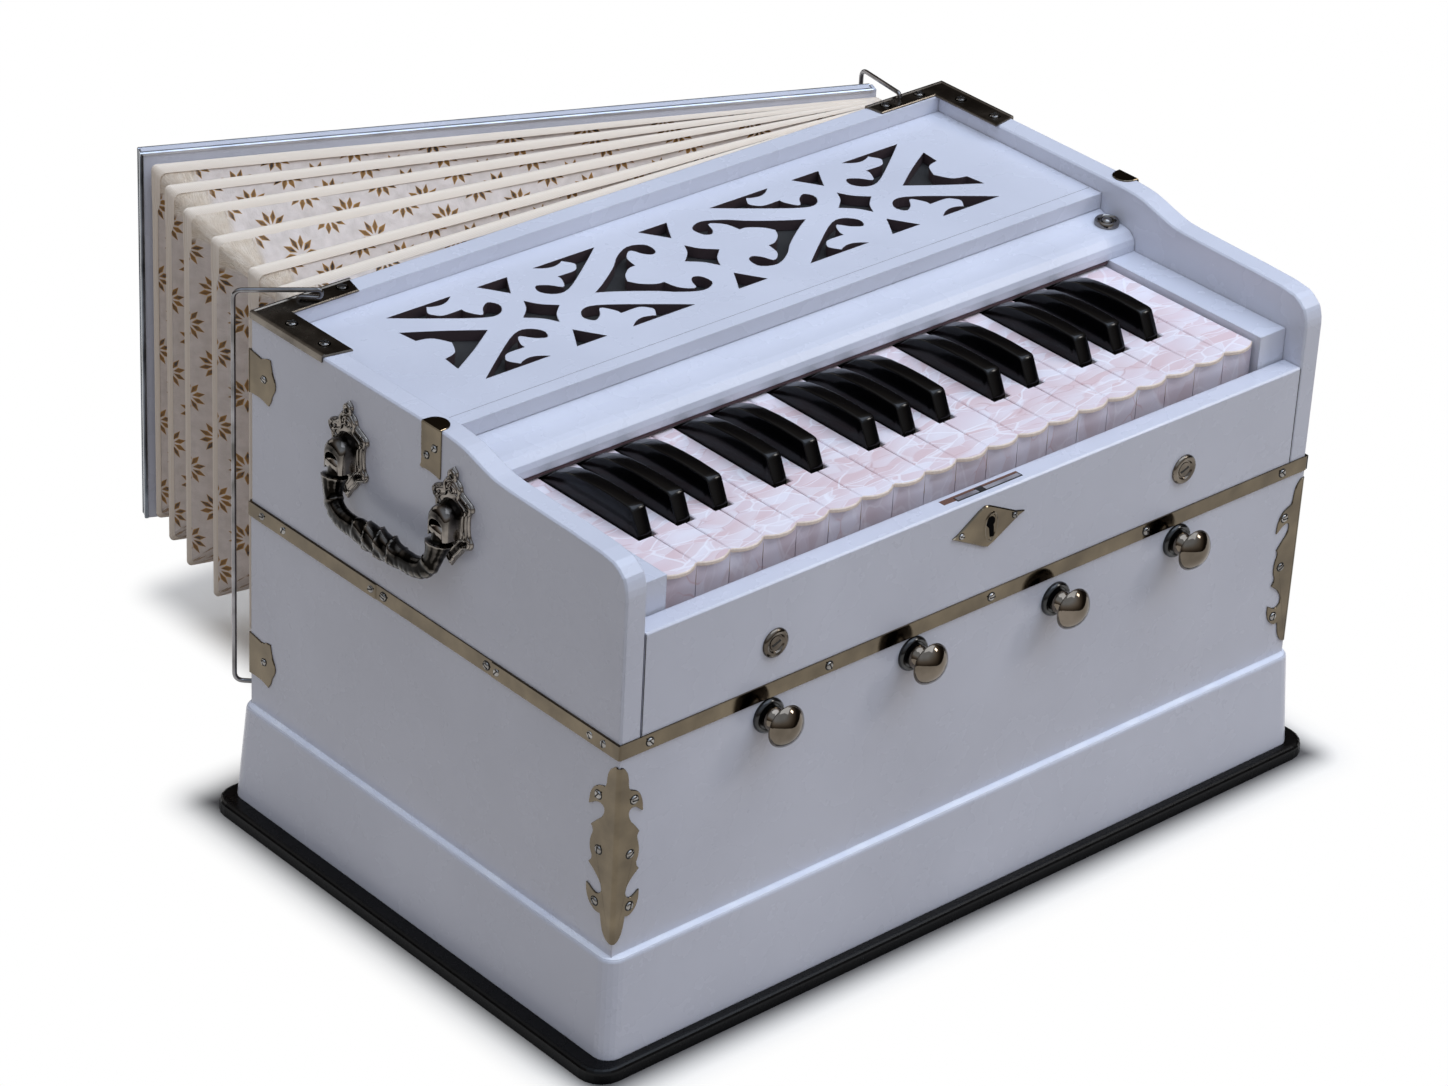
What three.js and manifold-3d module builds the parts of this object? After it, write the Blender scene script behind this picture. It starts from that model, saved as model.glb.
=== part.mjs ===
// Indian harmonium, a hand-pumped table reed organ with its bellows part open.
// Lengths are in millimetres. Inside this file x runs right from the case's left face,
// y runs back from its front face and z runs up from the floor.

import * as THREE from "three";
import { mergeVertices } from "three/addons/utils/BufferGeometryUtils.js";
import Module from "manifold-3d";

const wasm = await Module();
wasm.setup();

// Fits
const SEAT_GAP = 0.3;
const RUNNING_GAP = 0.3;
const CUT_MARGIN = 1;

// Case
const CASE_WIDTH = 480;
const CASE_DEPTH = 294;
const CASE_TOP = 299;
const PARTING_HEIGHT = 182.5;
const LOWER_WALL = 18;
const CHEEK_THICKNESS = 13;
const PANEL_THICKNESS = 12;
const PANEL_TOP = 248;
const BOARD_EDGE = 1;

// Base board and skirt
const BASE_TOP = 12;
const BASE_THICKNESS = 8;
const BASE_SIDE_OVERHANG = 18;
const BASE_END_OVERHANG = 14;
const BASE_CORNER = 14;
const BASE_EDGE = 3;
const SKIRT_TOP = 68;
const SKIRT_TOP_PROUD = 4.5;
const SKIRT_FOOT_PROUD = 8;
const SKIRT_CORNER = 9;
const SKIRT_EDGE = 1.5;

// Metal band over the parting line
const BAND_HEIGHT = 8.5;
const BAND_THICKNESS = 0.9;
const BAND_CORNER = 1.2;

// Cheek's side outline above its straight front, as distance back and height
const CHEEK_SHOULDER = [
  [0, 271],
  [1, 277],
  [5, 283],
  [20, 288],
  [88, 290],
  [104, 292],
  [123, 297.5],
  [138, CASE_TOP],
];

// Upper back and top board
const BACK_THICKNESS = 12;
const CLEAT_DEPTH = 8;
const CLEAT_HEIGHT = 8;
const TOP_BOARD_TOP = 290;
const TOP_BOARD_THICKNESS = 6;
const TOP_BOARD_FRONT = 152.7;
const TOP_BOARD_LIP_DEPTH = 5.3;
const TOP_BOARD_LIP_BOTTOM = 281;

// Key rail, across the keys in front of the top board, as distance back and height
const RAIL_BOTTOM = 266;
const RAIL_PROFILE = [
  [125.2, RAIL_BOTTOM],
  [165, RAIL_BOTTOM],
  [165, 280.7],
  [153.5, 280.7],
  [145, 278.2],
  [133.5, 277.4],
  [129.6, 276.5],
  [126.1, 273.1],
  [125.2, 270],
];

// Reed board and key frame
const REED_BOARD_TOP = 234;
const REED_BOARD_THICKNESS = 12;
const REED_BOX_WALL = 12;
const REED_SLOT_WIDTH = 6;
const REED_SLOT_LENGTH = 22;
const FRAME_SETBACK = 1.3;
const FRAME_FRONT = PANEL_THICKNESS + FRAME_SETBACK;
const FRAME_BACK = 165;
const LEFT_BLOCK_WIDTH = 23.2;
const RIGHT_BLOCK_WIDTH = 19.2;
const LEFT_BLOCK_RIGHT = CHEEK_THICKNESS + SEAT_GAP + LEFT_BLOCK_WIDTH;
const RIGHT_BLOCK_LEFT = CASE_WIDTH - CHEEK_THICKNESS - SEAT_GAP - RIGHT_BLOCK_WIDTH;
const STOP_RAIL_FRONT = 22;
const STOP_RAIL_BACK = 36;
const STOP_RAIL_TOP = 240;
const BALANCE_FRONT = 121;
const BALANCE_BACK = 135;
const BALANCE_RIDGE_WIDTH = 2;
const BALANCE_SHOULDER = 246;

// Keys
const KEYS_LEFT_GAP = 1;
const KEYS_RIGHT_GAP = 1.5;
const WHITE_COUNT = 19;
const KEYS_LEFT = LEFT_BLOCK_RIGHT + KEYS_LEFT_GAP;
const WHITE_PITCH = (RIGHT_BLOCK_LEFT - KEYS_RIGHT_GAP - KEYS_LEFT) / WHITE_COUNT;
const WHITE_GAP = 1;
const KEY_FRONT = 13.5;
const KEY_CUSP = 4;
const HEAD_BACK = 49.7;
const KEY_BACK_ROOM = 47;
const KEY_BACK = CASE_DEPTH - BACK_THICKNESS - KEY_BACK_ROOM;
const REED_SLOT_INSET = 4;
const REED_SLOT_BACK = KEY_BACK - REED_SLOT_INSET;
const REED_SLOT_FRONT = REED_SLOT_BACK - REED_SLOT_LENGTH;
const KEY_BOTTOM = 250;
const WHITE_TOP = 263;
const WHITE_EDGE = 0.5;
const WHITE_PLATE = 2.5;
const APRON_BOTTOM = 243.5;
const APRON_THICKNESS = 3.5;
const TAIL_GAP = 0.6;
const KEY_PIVOT_Y = 128;
const PALLET_LENGTH = 30;
const PALLET_FRONT = KEY_BACK - PALLET_LENGTH;
const PALLET_SIDE_INSET = 1;
const BLACK_WIDTH = 10.4;
const BLACK_TOP_WIDTH = 9.5;
const BLACK_FRONT = 50.8;
// Shift of each black key from the line between two whites, from F up; null where there is none
const BLACK_SHIFTS = [-2.9, 0, 2.9, null, -1.45, 1.45, null];
// Black key's side, as distance back and height over the whites
const BLACK_SIDE = [
  [BLACK_FRONT, 1],
  [53.6, 6.6],
  [57.2, 12],
  [60.5, 14],
  [86, 14],
  [106, 12.2],
  [115, 8],
  [123, 1.5],
  [126, -1],
  [KEY_BACK, -1],
];

// Stops: place along the front as a share of the case's width, and drop below the parting line
const STOP_SHARES = [0.1979, 0.4, 0.6104, 0.7958];
const STOP_DROP = 10;
const THIRD_STOP_DROP = 14;
const STOP_DROPS = [STOP_DROP, STOP_DROP, THIRD_STOP_DROP, STOP_DROP];
const STOPS = STOP_SHARES.map((share, k) => [CASE_WIDTH * share, PARTING_HEIGHT - STOP_DROPS[k]]);
const STOP_ROD_RADIUS = 3;
const STOP_ROD_INSIDE = 60;
// Knob's turned outline, as radius and distance out from the front face
const KNOB_PROFILE = [
  [STOP_ROD_RADIUS, 3.6],
  [5.5, 3.6],
  [5.5, 8],
  [6.6, 11],
  [9.6, 12.4],
  [10.5, 14.5],
  [9.6, 16.8],
  [7, 19.2],
  [3.6, 20.6],
];
const KNOB_END = 21;

// Handle plates: centres back from the front face, height, and half of the leaf outline
const PLATE_CENTRES = [128.5, 211.5];
const BAIL_AXIS_HEIGHT = 252;
const PLATE_ABOVE_AXIS = 5.5;
const PLATE_HEIGHT = BAIL_AXIS_HEIGHT + PLATE_ABOVE_AXIS;
const PLATE_THICKNESS = 2;
const PLATE_HALF = [
  [0, 27.5],
  [3.2, 25],
  [2.3, 21.6],
  [6.4, 19.6],
  [6.8, 16],
  [10, 14.4],
  [15.4, 12],
  [16, 8.6],
  [12.6, 6.4],
  [12.8, -6],
  [16, -9],
  [14.4, -13],
  [9.6, -14.6],
  [7, -18.6],
  [3.6, -22],
  [0, -27.5],
];
const HOOD_HALF_WIDTH = 7.7;
const HOOD_BELOW_AXIS = 5.5;
const HOOD_ABOVE_AXIS = 14;
const HOOD_BOTTOM = BAIL_AXIS_HEIGHT - HOOD_BELOW_AXIS;
const HOOD_TOP = BAIL_AXIS_HEIGHT + HOOD_ABOVE_AXIS;
const HOOD_REACH = 13;
const HOOD_CORNER = 6;
const MOUTH_HALF_WIDTH = 5.2;
const MOUTH_ABOVE_AXIS = 7;
const MOUTH_TOP = BAIL_AXIS_HEIGHT + MOUTH_ABOVE_AXIS;
const BAIL_AXIS_OUT = 8.2;
const BARREL_RADIUS = 4.2;
const BARREL_HALF_LENGTH = 4.8;
const PIN_RADIUS = 2;
const PIN_HALF_LENGTH = 7.3;
const BAIL_BAR_OUT = 15;
const BAIL_DROP = 23;
const BAIL_BAR_HEIGHT = BAIL_AXIS_HEIGHT - BAIL_DROP;
const BAIL_BEND = 15;
const SHANK_RADIUS = 3.8;
const BAIL_BAR_RADIUS = 4.6;
const BULGE_RADIUS = 6.3;
const BULGE_HALF_LENGTH = 12;

// Side wires that hold the bellows shut
const WIRE_RADIUS = 1.3;
const WIRE_PIVOT_INSET = 3.6;
const WIRE_PIVOT_Y = CASE_DEPTH - WIRE_PIVOT_INSET;
const LEFT_WIRE_X = 26.6;
const LEFT_WIRE_ARM = 32.7;
const LEFT_WIRE_ANGLE = 47;
const RIGHT_WIRE_INSET = 36;
const RIGHT_WIRE_X = CASE_WIDTH - RIGHT_WIRE_INSET;
const RIGHT_WIRE_ARM = 37;
const RIGHT_WIRE_ANGLE = -8;
const WIRE_TOP = 303.5;
const WIRE_FOOT = 72.3;
const WIRE_BEND = 5;
const WIRE_END_BEND = 2.4;
const WIRE_HOLE_RADIUS = WIRE_RADIUS + RUNNING_GAP;
const UPPER_HOLE_BOTTOM = 280;
const WIRE_UPPER_END = 285;
const LOWER_HOLE_TOP = 95;
const WIRE_LOWER_END = 90;
const CURL_REACH = 12;
const CURL_LOW = 302;
const CURL_HIGH = 306.4;
const CURL_BEND = 2.15;
const NOTCH_BOTTOM = 69;
const NOTCH_TOP = 77;
const NOTCH_DEPTH = 7.5;
const NOTCH_FRONT = CASE_DEPTH - NOTCH_DEPTH;
const NOTCH_HALF_WIDTH = 11;

// Bellows
const BELLOWS_BOARD_LEFT = 26;
const BELLOWS_HINGE_INSET = 37.5;
const BELLOWS_HINGE_BEHIND = 13.6;
const BELLOWS_HINGE_X = CASE_WIDTH - BELLOWS_HINGE_INSET;
const BELLOWS_HINGE_Y = CASE_DEPTH + BELLOWS_HINGE_BEHIND;
const BELLOWS_BOARD_THICKNESS = 7;
const BELLOWS_BOARD_BOTTOM = 76;
const BELLOWS_BOARD_TOP = 300;
const BELLOWS_OPEN_ANGLE = 23.87;
const INTAKE_RADIUS = 8;
const INTAKE_COUNT = 4;
const INTAKE_PITCH = 60;
const FOLD_BOTTOM = 79.5;
const FOLD_TOP = 295.5;
const FOLD_END_INSET = 4.5;
const FOLD_REACH = BELLOWS_HINGE_X - BELLOWS_BOARD_LEFT - FOLD_END_INSET;
const FOLD_DEPTH = 16;
const FOLD_WALL = 1.4;
// Where each ridge stands between the case and the board, as a share of the opening
const RIDGE_SHARES = [0.1, 0.24, 0.46, 0.66, 0.82, 0.965];
const AIR_HOLE_RADIUS = 14;
const AIR_HOLE_HEIGHT = 135;
const AIR_HOLE_PITCH = 110;
const AIR_HOLE_COUNT = 3;

// Reservoir on the floor of the case
const RESERVOIR_SIDE_ROOM = 50;
const RESERVOIR_FRONT_ROOM = 44;
const RESERVOIR_BACK_ROOM = 54;
const RESERVOIR_LEFT = RESERVOIR_SIDE_ROOM;
const RESERVOIR_RIGHT = CASE_WIDTH - RESERVOIR_SIDE_ROOM;
const RESERVOIR_FRONT = RESERVOIR_FRONT_ROOM;
const RESERVOIR_BACK = CASE_DEPTH - RESERVOIR_BACK_ROOM;
const RESERVOIR_STACK = 12;
const RESERVOIR_BOARD_THICKNESS = 8;
const RESERVOIR_FOLD_COUNT = 4;
const RESERVOIR_FOLD_DEPTH = 14;

// Fretwork in the top board: its margins, and how many steps of its drawing grid fill the rest
const FRET_END_MARGIN = 57.5;
const FRET_FRONT_MARGIN = 29.9;
const FRET_BACK_MARGIN = 18.3;
const FRET_LENGTH_SHARE = 365;
const FRET_DEPTH_SHARE = 80.8;
const DIAMOND_PITCH_SHARE = 109;

const degrees = (angle) => THREE.MathUtils.degToRad(angle);
const wood = { color: 0xc9a87c, roughness: 0.6, metalness: 0 };
const paint = { color: 0xd6dae8, roughness: 0.35, metalness: 0 };
const blackPaint = { color: 0x16161a, roughness: 0.3, metalness: 0 };
const nickel = { color: 0xa59a90, roughness: 0.25, metalness: 1 };
const steel = { color: 0x8f9298, roughness: 0.25, metalness: 1 };
const castMetal = { color: 0x3a3b42, roughness: 0.3, metalness: 1 };
const pearl = { color: 0xe9d9dc, roughness: 0.3, metalness: 0 };
const gloss = { color: 0x0c0c0e, roughness: 0.12, metalness: 0 };
const cloth = { color: 0xe4d9c6, roughness: 0.85, metalness: 0 };

// All pieces hang in one group that puts the origin under the middle of the case,
// level with the base board's underside.
const group = new THREE.Group();
group.name = "indian_harmonium";
const body = new THREE.Group();
body.position.set(-CASE_WIDTH / 2, -CASE_DEPTH / 2, BASE_THICKNESS - BASE_TOP);
group.add(body);

function add(name, geometry, finish, parent = body) {
  const mesh = new THREE.Mesh(geometry, new THREE.MeshStandardMaterial(finish));
  mesh.name = name;
  parent.add(mesh);
  return mesh;
}

function box(x0, x1, y0, y1, z0, z1) {
  const made = new THREE.BoxGeometry(x1 - x0, y1 - y0, z1 - z0);
  return made.translate((x0 + x1) / 2, (y0 + y1) / 2, (z0 + z1) / 2);
}

function shapeOf(points) {
  return new THREE.Shape(points.map(([u, v]) => new THREE.Vector2(u, v)));
}

function extrude(shape, length, edge = 0) {
  return new THREE.ExtrudeGeometry(shape, {
    depth: length - 2 * edge,
    bevelEnabled: edge > 0,
    bevelThickness: edge,
    bevelSize: edge,
    bevelOffset: -edge,
    bevelSegments: 1,
    curveSegments: 6,
  }).translate(0, 0, edge);
}

// A side outline (back, up) pulled along x.
function across(shape, x0, x1, edge = 0) {
  const turn = new THREE.Matrix4().makeBasis(
    new THREE.Vector3(0, 1, 0),
    new THREE.Vector3(0, 0, 1),
    new THREE.Vector3(1, 0, 0),
  );
  return extrude(shape, x1 - x0, edge).applyMatrix4(turn).translate(x0, 0, 0);
}

function cylinderY(x, y0, y1, z, radius, sides = 20) {
  const made = new THREE.CylinderGeometry(radius, radius, y1 - y0, sides);
  return made.translate(x, (y0 + y1) / 2, z);
}

function cylinderZ(x, y, z0, z1, radius, sides = 20) {
  const made = new THREE.CylinderGeometry(radius, radius, z1 - z0, sides);
  return made.rotateX(Math.PI / 2).translate(x, y, (z0 + z1) / 2);
}

function solid(geometry) {
  const bare = geometry.clone();
  bare.deleteAttribute("normal");
  bare.deleteAttribute("uv");
  const merged = mergeVertices(bare);
  return new wasm.Manifold(
    new wasm.Mesh({
      numProp: 3,
      vertProperties: merged.attributes.position.array,
      triVerts: Uint32Array.from(merged.index.array),
    }),
  );
}

function geometryOf(manifold) {
  const mesh = manifold.getMesh();
  const made = new THREE.BufferGeometry();
  made.setAttribute("position", new THREE.BufferAttribute(mesh.vertProperties, 3));
  made.setIndex(new THREE.BufferAttribute(mesh.triVerts, 1));
  const flat = made.toNonIndexed();
  flat.computeVertexNormals();
  return flat;
}

function cut(geometry, tools) {
  return geometryOf(tools.reduce((left, tool) => left.subtract(solid(tool)), solid(geometry)));
}

function join(pieces) {
  return geometryOf(pieces.slice(1).reduce((sum, piece) => sum.add(solid(piece)), solid(pieces[0])));
}

function geometryFrom(points, faces) {
  const made = new THREE.BufferGeometry();
  made.setAttribute("position", new THREE.Float32BufferAttribute(points.flatMap((p) => p.toArray()), 3));
  made.setIndex(faces);
  const flat = made.toNonIndexed();
  flat.computeVertexNormals();
  return flat;
}

// Four-sided skin between rings of equal count; first and last give the rows joined.
function skin(rows, offset, flip) {
  const count = rows[0].length;
  const faces = [];
  for (let row = 0; row < rows.length - 1; row += 1) {
    for (let k = 0; k < count; k += 1) {
      const a = offset + row * count + k;
      const b = offset + row * count + ((k + 1) % count);
      const c = b + count;
      const d = a + count;
      faces.push(...(flip ? [a, c, b, a, d, c] : [a, b, c, a, c, d]));
    }
  }
  return faces;
}

// A closed body through rings that turn anticlockwise as seen from the last ring.
function loft(rings) {
  const count = rings[0].length;
  const last = (rings.length - 1) * count;
  const faces = skin(rings, 0, false);
  for (let k = 1; k < count - 1; k += 1) {
    faces.push(0, k + 1, k);
    faces.push(last, last + k, last + k + 1);
  }
  return geometryFrom(rings.flat(), faces);
}

// A walled tube, open at both ends, between outer and inner rings.
function walledTube(outer, inner) {
  const count = outer[0].length;
  const shift = outer.length * count;
  const last = (outer.length - 1) * count;
  const faces = [...skin(outer, 0, false), ...skin(inner, shift, true)];
  for (let k = 0; k < count; k += 1) {
    const next = (k + 1) % count;
    faces.push(k, shift + k, shift + next, k, shift + next, next);
    faces.push(last + k, last + next, shift + last + next, last + k, shift + last + next, shift + last + k);
  }
  return geometryFrom([...outer.flat(), ...inner.flat()], faces);
}

// A round bar along a path, with its own radius at each point.
function bar(path, radii, sides) {
  const rings = [];
  let side = null;
  path.forEach((point, i) => {
    const before = path[Math.max(i - 1, 0)];
    const after = path[Math.min(i + 1, path.length - 1)];
    const along = new THREE.Vector3().subVectors(after, before).normalize();
    if (side === null) {
      const spare = Math.abs(along.x) < Math.abs(along.y) ? new THREE.Vector3(1, 0, 0) : new THREE.Vector3(0, 1, 0);
      side = spare.cross(along).normalize();
    }
    side = side.clone().addScaledVector(along, -side.dot(along)).normalize();
    const other = new THREE.Vector3().crossVectors(along, side);
    const ring = [];
    for (let k = 0; k < sides; k += 1) {
      const angle = (2 * Math.PI * k) / sides;
      ring.push(
        point
          .clone()
          .addScaledVector(side, radii[i] * Math.cos(angle))
          .addScaledVector(other, radii[i] * Math.sin(angle)),
      );
    }
    rings.push(ring);
  });
  return loft(rings);
}

// A path with its corners rounded, each by its own radius.
function rounded(corners, radii, steps = 5) {
  const path = [corners[0]];
  for (let i = 1; i < corners.length - 1; i += 1) {
    const arriving = new THREE.Vector3().subVectors(corners[i], corners[i - 1]).normalize();
    const leaving = new THREE.Vector3().subVectors(corners[i + 1], corners[i]).normalize();
    const turn = arriving.angleTo(leaving);
    const axis = new THREE.Vector3().crossVectors(arriving, leaving).normalize();
    const radius = radii[i - 1];
    const start = corners[i].clone().addScaledVector(arriving, -radius * Math.tan(turn / 2));
    const centre = start.clone().addScaledVector(new THREE.Vector3().crossVectors(axis, arriving), radius);
    for (let k = 0; k <= steps; k += 1) {
      const spoke = new THREE.Vector3().subVectors(start, centre).applyAxisAngle(axis, (turn * k) / steps);
      path.push(centre.clone().add(spoke));
    }
  }
  path.push(corners[corners.length - 1]);
  return path;
}

// A rectangle in plan with round corners, at one height.
function roundRect(x0, x1, y0, y1, corner, z, steps = 5) {
  const centres = [
    [x1 - corner, y1 - corner, 0],
    [x0 + corner, y1 - corner, 1],
    [x0 + corner, y0 + corner, 2],
    [x1 - corner, y0 + corner, 3],
  ];
  const ring = [];
  for (const [x, y, quarter] of centres) {
    for (let k = 0; k <= steps; k += 1) {
      const angle = ((quarter + k / steps) * Math.PI) / 2;
      ring.push(new THREE.Vector3(x + corner * Math.cos(angle), y + corner * Math.sin(angle), z));
    }
  }
  return ring;
}

// Base board: a black slab with round corners and a softened top edge.
const baseRings = [roundRect(
  -BASE_SIDE_OVERHANG,
  CASE_WIDTH + BASE_SIDE_OVERHANG,
  -BASE_END_OVERHANG,
  CASE_DEPTH + BASE_END_OVERHANG,
  BASE_CORNER,
  BASE_TOP - BASE_THICKNESS,
)];
const BASE_EDGE_STEPS = 4;
for (let k = 0; k <= BASE_EDGE_STEPS; k += 1) {
  const angle = (k / BASE_EDGE_STEPS) * (Math.PI / 2);
  const inset = BASE_EDGE * (1 - Math.cos(angle));
  const height = BASE_TOP - BASE_EDGE + BASE_EDGE * Math.sin(angle);
  baseRings.push(roundRect(
    inset - BASE_SIDE_OVERHANG,
    CASE_WIDTH + BASE_SIDE_OVERHANG - inset,
    inset - BASE_END_OVERHANG,
    CASE_DEPTH + BASE_END_OVERHANG - inset,
    BASE_CORNER - inset,
    height,
  ));
}
add("base_board", loft(baseRings), blackPaint);

// Lower case: four walls in one ring, with stop holes, air holes and wire seats.
const lowerTools = [
  box(
    LOWER_WALL,
    CASE_WIDTH - LOWER_WALL,
    LOWER_WALL,
    CASE_DEPTH - LOWER_WALL,
    BASE_TOP - CUT_MARGIN,
    PARTING_HEIGHT + CUT_MARGIN,
  ),
];
for (const [x, z] of STOPS) {
  lowerTools.push(cylinderY(x, -CUT_MARGIN, LOWER_WALL + CUT_MARGIN, z, STOP_ROD_RADIUS + RUNNING_GAP));
}
for (let k = 0; k < AIR_HOLE_COUNT; k += 1) {
  const x = CASE_WIDTH / 2 + (k - (AIR_HOLE_COUNT - 1) / 2) * AIR_HOLE_PITCH;
  const from = CASE_DEPTH - LOWER_WALL - CUT_MARGIN;
  lowerTools.push(cylinderY(x, from, CASE_DEPTH + CUT_MARGIN, AIR_HOLE_HEIGHT, AIR_HOLE_RADIUS, 28));
}
for (const x of [LEFT_WIRE_X, RIGHT_WIRE_X]) {
  const reach = CASE_DEPTH + CUT_MARGIN;
  lowerTools.push(box(x - NOTCH_HALF_WIDTH, x + NOTCH_HALF_WIDTH, NOTCH_FRONT, reach, NOTCH_BOTTOM, NOTCH_TOP));
  lowerTools.push(cylinderZ(x, WIRE_PIVOT_Y, NOTCH_TOP - CUT_MARGIN, LOWER_HOLE_TOP, WIRE_HOLE_RADIUS, 12));
}
const lowerBlock = box(0, CASE_WIDTH, 0, CASE_DEPTH, BASE_TOP, PARTING_HEIGHT);
add("lower_case", cut(lowerBlock, lowerTools), paint);

// Skirt: a plinth moulding that wraps the foot of the case and flares towards the base.
const skirtRings = [
  [SKIRT_FOOT_PROUD, BASE_TOP],
  [SKIRT_TOP_PROUD, SKIRT_TOP - SKIRT_EDGE],
  [SKIRT_TOP_PROUD - SKIRT_EDGE * (1 - Math.SQRT1_2), SKIRT_TOP - SKIRT_EDGE * (1 - Math.SQRT1_2)],
  [SKIRT_TOP_PROUD - SKIRT_EDGE, SKIRT_TOP],
].map(([proud, z]) => roundRect(-proud, CASE_WIDTH + proud, -proud, CASE_DEPTH + proud, SKIRT_CORNER, z));
const skirtHole = box(
  -SEAT_GAP,
  CASE_WIDTH + SEAT_GAP,
  -SEAT_GAP,
  CASE_DEPTH + SEAT_GAP,
  BASE_TOP - CUT_MARGIN,
  SKIRT_TOP + CUT_MARGIN,
);
add("skirt", cut(loft(skirtRings), [skirtHole]), paint);

// Metal band: a thin strip round the case over the parting line.
const bandRings = [PARTING_HEIGHT, PARTING_HEIGHT + BAND_HEIGHT].map((z) => roundRect(
  -BAND_THICKNESS,
  CASE_WIDTH + BAND_THICKNESS,
  -BAND_THICKNESS,
  CASE_DEPTH + BAND_THICKNESS,
  BAND_CORNER,
  z,
  3,
));
const bandHole = box(
  0,
  CASE_WIDTH,
  0,
  CASE_DEPTH,
  PARTING_HEIGHT - CUT_MARGIN,
  PARTING_HEIGHT + BAND_HEIGHT + CUT_MARGIN,
);
add("metal_band", cut(loft(bandRings), [bandHole]), nickel);

// Cheeks: the two ends of the upper case, low at the keys and high at the back.
const cheekShape = new THREE.Shape();
cheekShape.moveTo(0, PARTING_HEIGHT);
cheekShape.lineTo(CASE_DEPTH, PARTING_HEIGHT);
cheekShape.lineTo(CASE_DEPTH, CASE_TOP);
cheekShape.lineTo(...CHEEK_SHOULDER[CHEEK_SHOULDER.length - 1]);
const shoulderCurve = new THREE.SplineCurve(CHEEK_SHOULDER.map(([y, z]) => new THREE.Vector2(y, z)).reverse());
const SHOULDER_STEPS = 21;
for (const point of shoulderCurve.getPoints(SHOULDER_STEPS).slice(1)) {
  cheekShape.lineTo(point.x, Math.min(point.y, CASE_TOP));
}
add("left_cheek", across(cheekShape, 0, CHEEK_THICKNESS, BOARD_EDGE), paint);
add("right_cheek", across(cheekShape, CASE_WIDTH - CHEEK_THICKNESS, CASE_WIDTH, BOARD_EDGE), paint);

const innerLeft = CHEEK_THICKNESS + SEAT_GAP;
const innerRight = CASE_WIDTH - innerLeft;

// Upper back: stands between the cheeks and carries the top board on a cleat.
const backFront = CASE_DEPTH - BACK_THICKNESS;
const topBoardBottom = TOP_BOARD_TOP - TOP_BOARD_THICKNESS;
const backShape = shapeOf([
  [backFront, PARTING_HEIGHT],
  [CASE_DEPTH, PARTING_HEIGHT],
  [CASE_DEPTH, CASE_TOP],
  [backFront, CASE_TOP],
  [backFront, topBoardBottom],
  [backFront - CLEAT_DEPTH, topBoardBottom],
  [backFront - CLEAT_DEPTH, topBoardBottom - CLEAT_HEIGHT],
  [backFront, topBoardBottom - CLEAT_HEIGHT],
]);
const wireHoles = [LEFT_WIRE_X, RIGHT_WIRE_X].map((x) =>
  cylinderZ(x, WIRE_PIVOT_Y, UPPER_HOLE_BOTTOM, CASE_TOP + CUT_MARGIN, WIRE_HOLE_RADIUS, 12),
);
add("upper_back", cut(across(backShape, innerLeft, innerRight), wireHoles), paint);

// Front panel: closes the front below the keys, down to the parting line.
const panelShape = shapeOf([
  [0, PARTING_HEIGHT],
  [PANEL_THICKNESS, PARTING_HEIGHT],
  [PANEL_THICKNESS, PANEL_TOP],
  [BOARD_EDGE, PANEL_TOP],
  [0, PANEL_TOP - BOARD_EDGE],
]);
add("front_panel", across(panelShape, innerLeft, innerRight), paint);

// Key outlines: each black key's centre and each white key's tail between its neighbours.
const blackCentres = [];
for (let k = 0; k < WHITE_COUNT - 1; k += 1) {
  const shift = BLACK_SHIFTS[k % BLACK_SHIFTS.length];
  blackCentres.push(shift === null ? null : KEYS_LEFT + (k + 1) * WHITE_PITCH + shift);
}
blackCentres.push(null);

function whiteSides(k) {
  const left = KEYS_LEFT + k * WHITE_PITCH + WHITE_GAP / 2;
  const right = left + WHITE_PITCH - WHITE_GAP;
  const before = k > 0 ? blackCentres[k - 1] : null;
  const after = blackCentres[k];
  const tailLeft = before === null ? left : before + BLACK_WIDTH / 2 + TAIL_GAP;
  const tailRight = after === null ? right : after - BLACK_WIDTH / 2 - TAIL_GAP;
  return { left, right, tailLeft, tailRight };
}

// Reed board: an upturned tray on the lower case, with a slot under each key's pallet.
const reedTop = box(
  innerLeft,
  innerRight,
  PANEL_THICKNESS + SEAT_GAP,
  backFront - SEAT_GAP,
  PARTING_HEIGHT,
  REED_BOARD_TOP,
);
const reedTools = [
  box(
    innerLeft + REED_BOX_WALL,
    innerRight - REED_BOX_WALL,
    PANEL_THICKNESS + SEAT_GAP + REED_BOX_WALL,
    backFront - SEAT_GAP - REED_BOX_WALL,
    PARTING_HEIGHT - CUT_MARGIN,
    REED_BOARD_TOP - REED_BOARD_THICKNESS,
  ),
];
function reedSlot(x) {
  const from = REED_BOARD_TOP - REED_BOARD_THICKNESS - CUT_MARGIN;
  return box(
    x - REED_SLOT_WIDTH / 2,
    x + REED_SLOT_WIDTH / 2,
    REED_SLOT_FRONT,
    REED_SLOT_BACK,
    from,
    REED_BOARD_TOP + CUT_MARGIN,
  );
}
for (let k = 0; k < WHITE_COUNT; k += 1) {
  const { tailLeft, tailRight } = whiteSides(k);
  reedTools.push(reedSlot((tailLeft + tailRight) / 2));
  if (blackCentres[k] !== null) {
    reedTools.push(reedSlot(blackCentres[k]));
  }
}
add("reed_board", cut(reedTop, reedTools), wood);

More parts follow.
